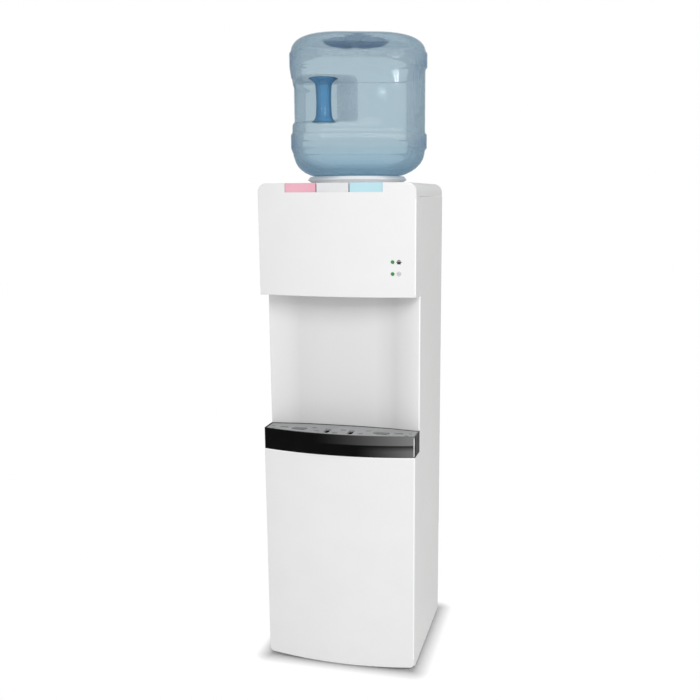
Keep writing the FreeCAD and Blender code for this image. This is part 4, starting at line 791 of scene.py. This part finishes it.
EDGE = (151.4, 153.5)
PANEL_EDGE_Z = (26.0, 446.0)
PANEL_TOP_Z = (446.8, 449.3)
FASCIA_EDGE_Z = (764.0, 940.0)
LINER_EDGE_FRONT = [(151.2, -101.75), (152.3, -101.85), (153.2, -101.55), (153.85, -100.9)]
LINER_EDGE_BACK = [(151.2, -101.2), (152.3, -101.2), (153.2, -100.9), (153.85, -100.3)]
LINER_EDGE_Z = (494.0, 757.0)
TRAY_EDGE_Z = (452.0, 489.0)
TRAY_EDGE_X = (151.3, 151.9, 152.4)


def strip(name, front, back, heights, body="cabinet"):
    """A thin lath between two heights, from matching lists of front and back places."""
    mesh = bmesh.new()
    outline = front + list(reversed(back))
    rings = skin(mesh, [[(x, y, z) for x, y in outline] for z in heights])
    count = len(outline)
    for i in range(count // 2 - 1):
        for ring in rings:
            mesh.faces.new((ring[i], ring[i + 1], ring[count - 2 - i], ring[count - 1 - i]))
    finish_piece(mesh, name, body, "white_plastic", EDGE_HIGHLIGHT)


def bowed_strip(name, start, end, steps, heights):
    """A lath that follows the fascia's bow from start to end."""
    across = [start + (end - start) * i / steps for i in range(steps + 1)]
    strip(name, [(x, bow_y(x) - PROUD) for x in across], [(x, bow_y(x) + SUNK) for x in across], heights)


bowed_strip("panel_edge_right", *EDGE, 3, PANEL_EDGE_Z)
bowed_strip("panel_edge_top", -EDGE[1], EDGE[1], 48, PANEL_TOP_Z)
bowed_strip("fascia_edge_right", *EDGE, 3, FASCIA_EDGE_Z)
strip("liner_edge_right", LINER_EDGE_FRONT, LINER_EDGE_BACK, LINER_EDGE_Z)
tray_front = [(x, bow_y(x, TRAY_BOW, TRAY_R)) for x in TRAY_EDGE_X]
strip("tray_edge_right", [(x, y - PROUD) for x, y in tray_front], [(x, y + SUNK) for x, y in tray_front],
      TRAY_EDGE_Z, "drip_tray")


# Stage in metres: pale floor, soft light, camera at the photograph's angle

FLOOR_REACH = 12.0
FLOOR_PAPER = 0.93
FLOOR_GAIN = 0.55
FOOTPRINT = (0.150, 0.145, 10.0)
SHADOW_REACH = 0.034
WORLD_LIT = 0.52
LENS = 45.36
LENS_SHIFT = (-0.0286, 0.0286)
CAMERA_SPOT = (0.4713, -1.7535, 0.9414)
CAMERA_AHEAD = (-0.2405, 0.9517, -0.1911)
CAMERA_ROLL = math.radians(-0.273)
# Name, place, height of its target on the object's axis, side and power
LAMPS = (
    ("key", (1.3, -2.6, 2.3), 0.6, 1.4, 46.0),
    ("fill", (-2.6, -1.5, 1.4), 0.6, 1.6, 3.0),
    ("crown", (0.2, 0.3, 3.2), 0.8, 1.6, 11.0),
    ("glint_left", (-0.82, -2.15, 1.52), 1.12, 0.09, 1.6),
    ("glint_right", (0.95, -2.0, 1.45), 1.12, 0.07, 1.2),
)


def floor_paper():
    """Paper that takes the contact shadow near the object and glows white to the camera beyond it."""
    paint = Paint("floor_paper")
    seen = paint.node("LightPath").outputs["Is Camera Ray"]
    tone = paint.node("Mix")
    tone.data_type = "RGBA"
    paint.feed(tone.inputs[0], seen)
    tone.inputs[6].default_value = (*grey(FLOOR_PAPER), 1.0)
    tone.inputs[7].default_value = (*grey(FLOOR_GAIN), 1.0)
    paper = paint.node("BsdfDiffuse", Color=tone.outputs[2]).outputs[0]
    glow = paint.node("Emission", Color=(*WHITE, 1.0), Strength=1.0).outputs[0]
    beyond = paint.vector("SUBTRACT", paint.vector("ABSOLUTE", paint.coord), FOOTPRINT)
    away = paint.vector("LENGTH", paint.vector("MAXIMUM", beyond, BLACK))
    share = paint.maths("MULTIPLY", seen, paint.span(away, 0.0, 1.0, 0.0, SHADOW_REACH))
    paint.surface(paint.mix_shader(share, paper, glow))
    return paint.material


def stage_floor():
    data = bpy.data.meshes.new("floor")
    corners = [(x * FLOOR_REACH, y * FLOOR_REACH, 0) for x, y in ((-1, -1), (1, -1), (1, 1), (-1, 1))]
    data.from_pydata(corners, [], [(0, 1, 2, 3)])
    data.materials.append(floor_paper())
    floor = bpy.data.objects.new("floor", data)
    bpy.context.scene.collection.objects.link(floor)


def stage_light(name, spot, target_height, side, power):
    lamp = bpy.data.lights.new(name, "AREA")
    lamp.shape = "SQUARE"
    lamp.size = side
    lamp.energy = power
    made = bpy.data.objects.new(name, lamp)
    bpy.context.scene.collection.objects.link(made)
    made.location = spot
    made.rotation_mode = "QUATERNION"
    made.rotation_quaternion = (Vector((0.0, 0.0, target_height)) - Vector(spot)).to_track_quat("-Z", "Y")


def stage_world():
    """White to the camera, and dimmer as a light."""
    world = bpy.data.worlds.new("studio")
    bpy.context.scene.world = world
    world.use_nodes = True
    tree = world.node_tree
    tree.nodes.clear()
    out = tree.nodes.new("ShaderNodeOutputWorld")
    path = tree.nodes.new("ShaderNodeLightPath")
    mix = tree.nodes.new("ShaderNodeMixShader")
    tree.links.new(path.outputs["Is Camera Ray"], mix.inputs[0])
    for socket, strength in ((mix.inputs[1], WORLD_LIT), (mix.inputs[2], 1.0)):
        shade = tree.nodes.new("ShaderNodeBackground")
        shade.inputs["Color"].default_value = (*WHITE, 1.0)
        shade.inputs["Strength"].default_value = strength
        tree.links.new(shade.outputs[0], socket)
    tree.links.new(mix.outputs[0], out.inputs["Surface"])


def stage_camera():
    data = bpy.data.cameras.new("photo_view")
    data.sensor_width = 36.0
    data.lens = LENS
    data.shift_x, data.shift_y = LENS_SHIFT
    data.clip_start = 0.05
    camera = bpy.data.objects.new("photo_view", data)
    bpy.context.scene.collection.objects.link(camera)
    ahead = Vector(CAMERA_AHEAD).normalized()
    right = ahead.cross(Vector((0, 0, 1))).normalized()
    up = right.cross(ahead)
    across = right * math.cos(CAMERA_ROLL) + up * math.sin(CAMERA_ROLL)
    upward = up * math.cos(CAMERA_ROLL) - right * math.sin(CAMERA_ROLL)
    turn = Matrix((across, upward, -ahead)).transposed()
    camera.matrix_world = Matrix.Translation(CAMERA_SPOT) @ turn.to_4x4()
    bpy.context.scene.camera = camera


stage_floor()
stage_world()
for lamp in LAMPS:
    stage_light(*lamp)
stage_camera()
bpy.context.scene.view_settings.view_transform = "Standard"
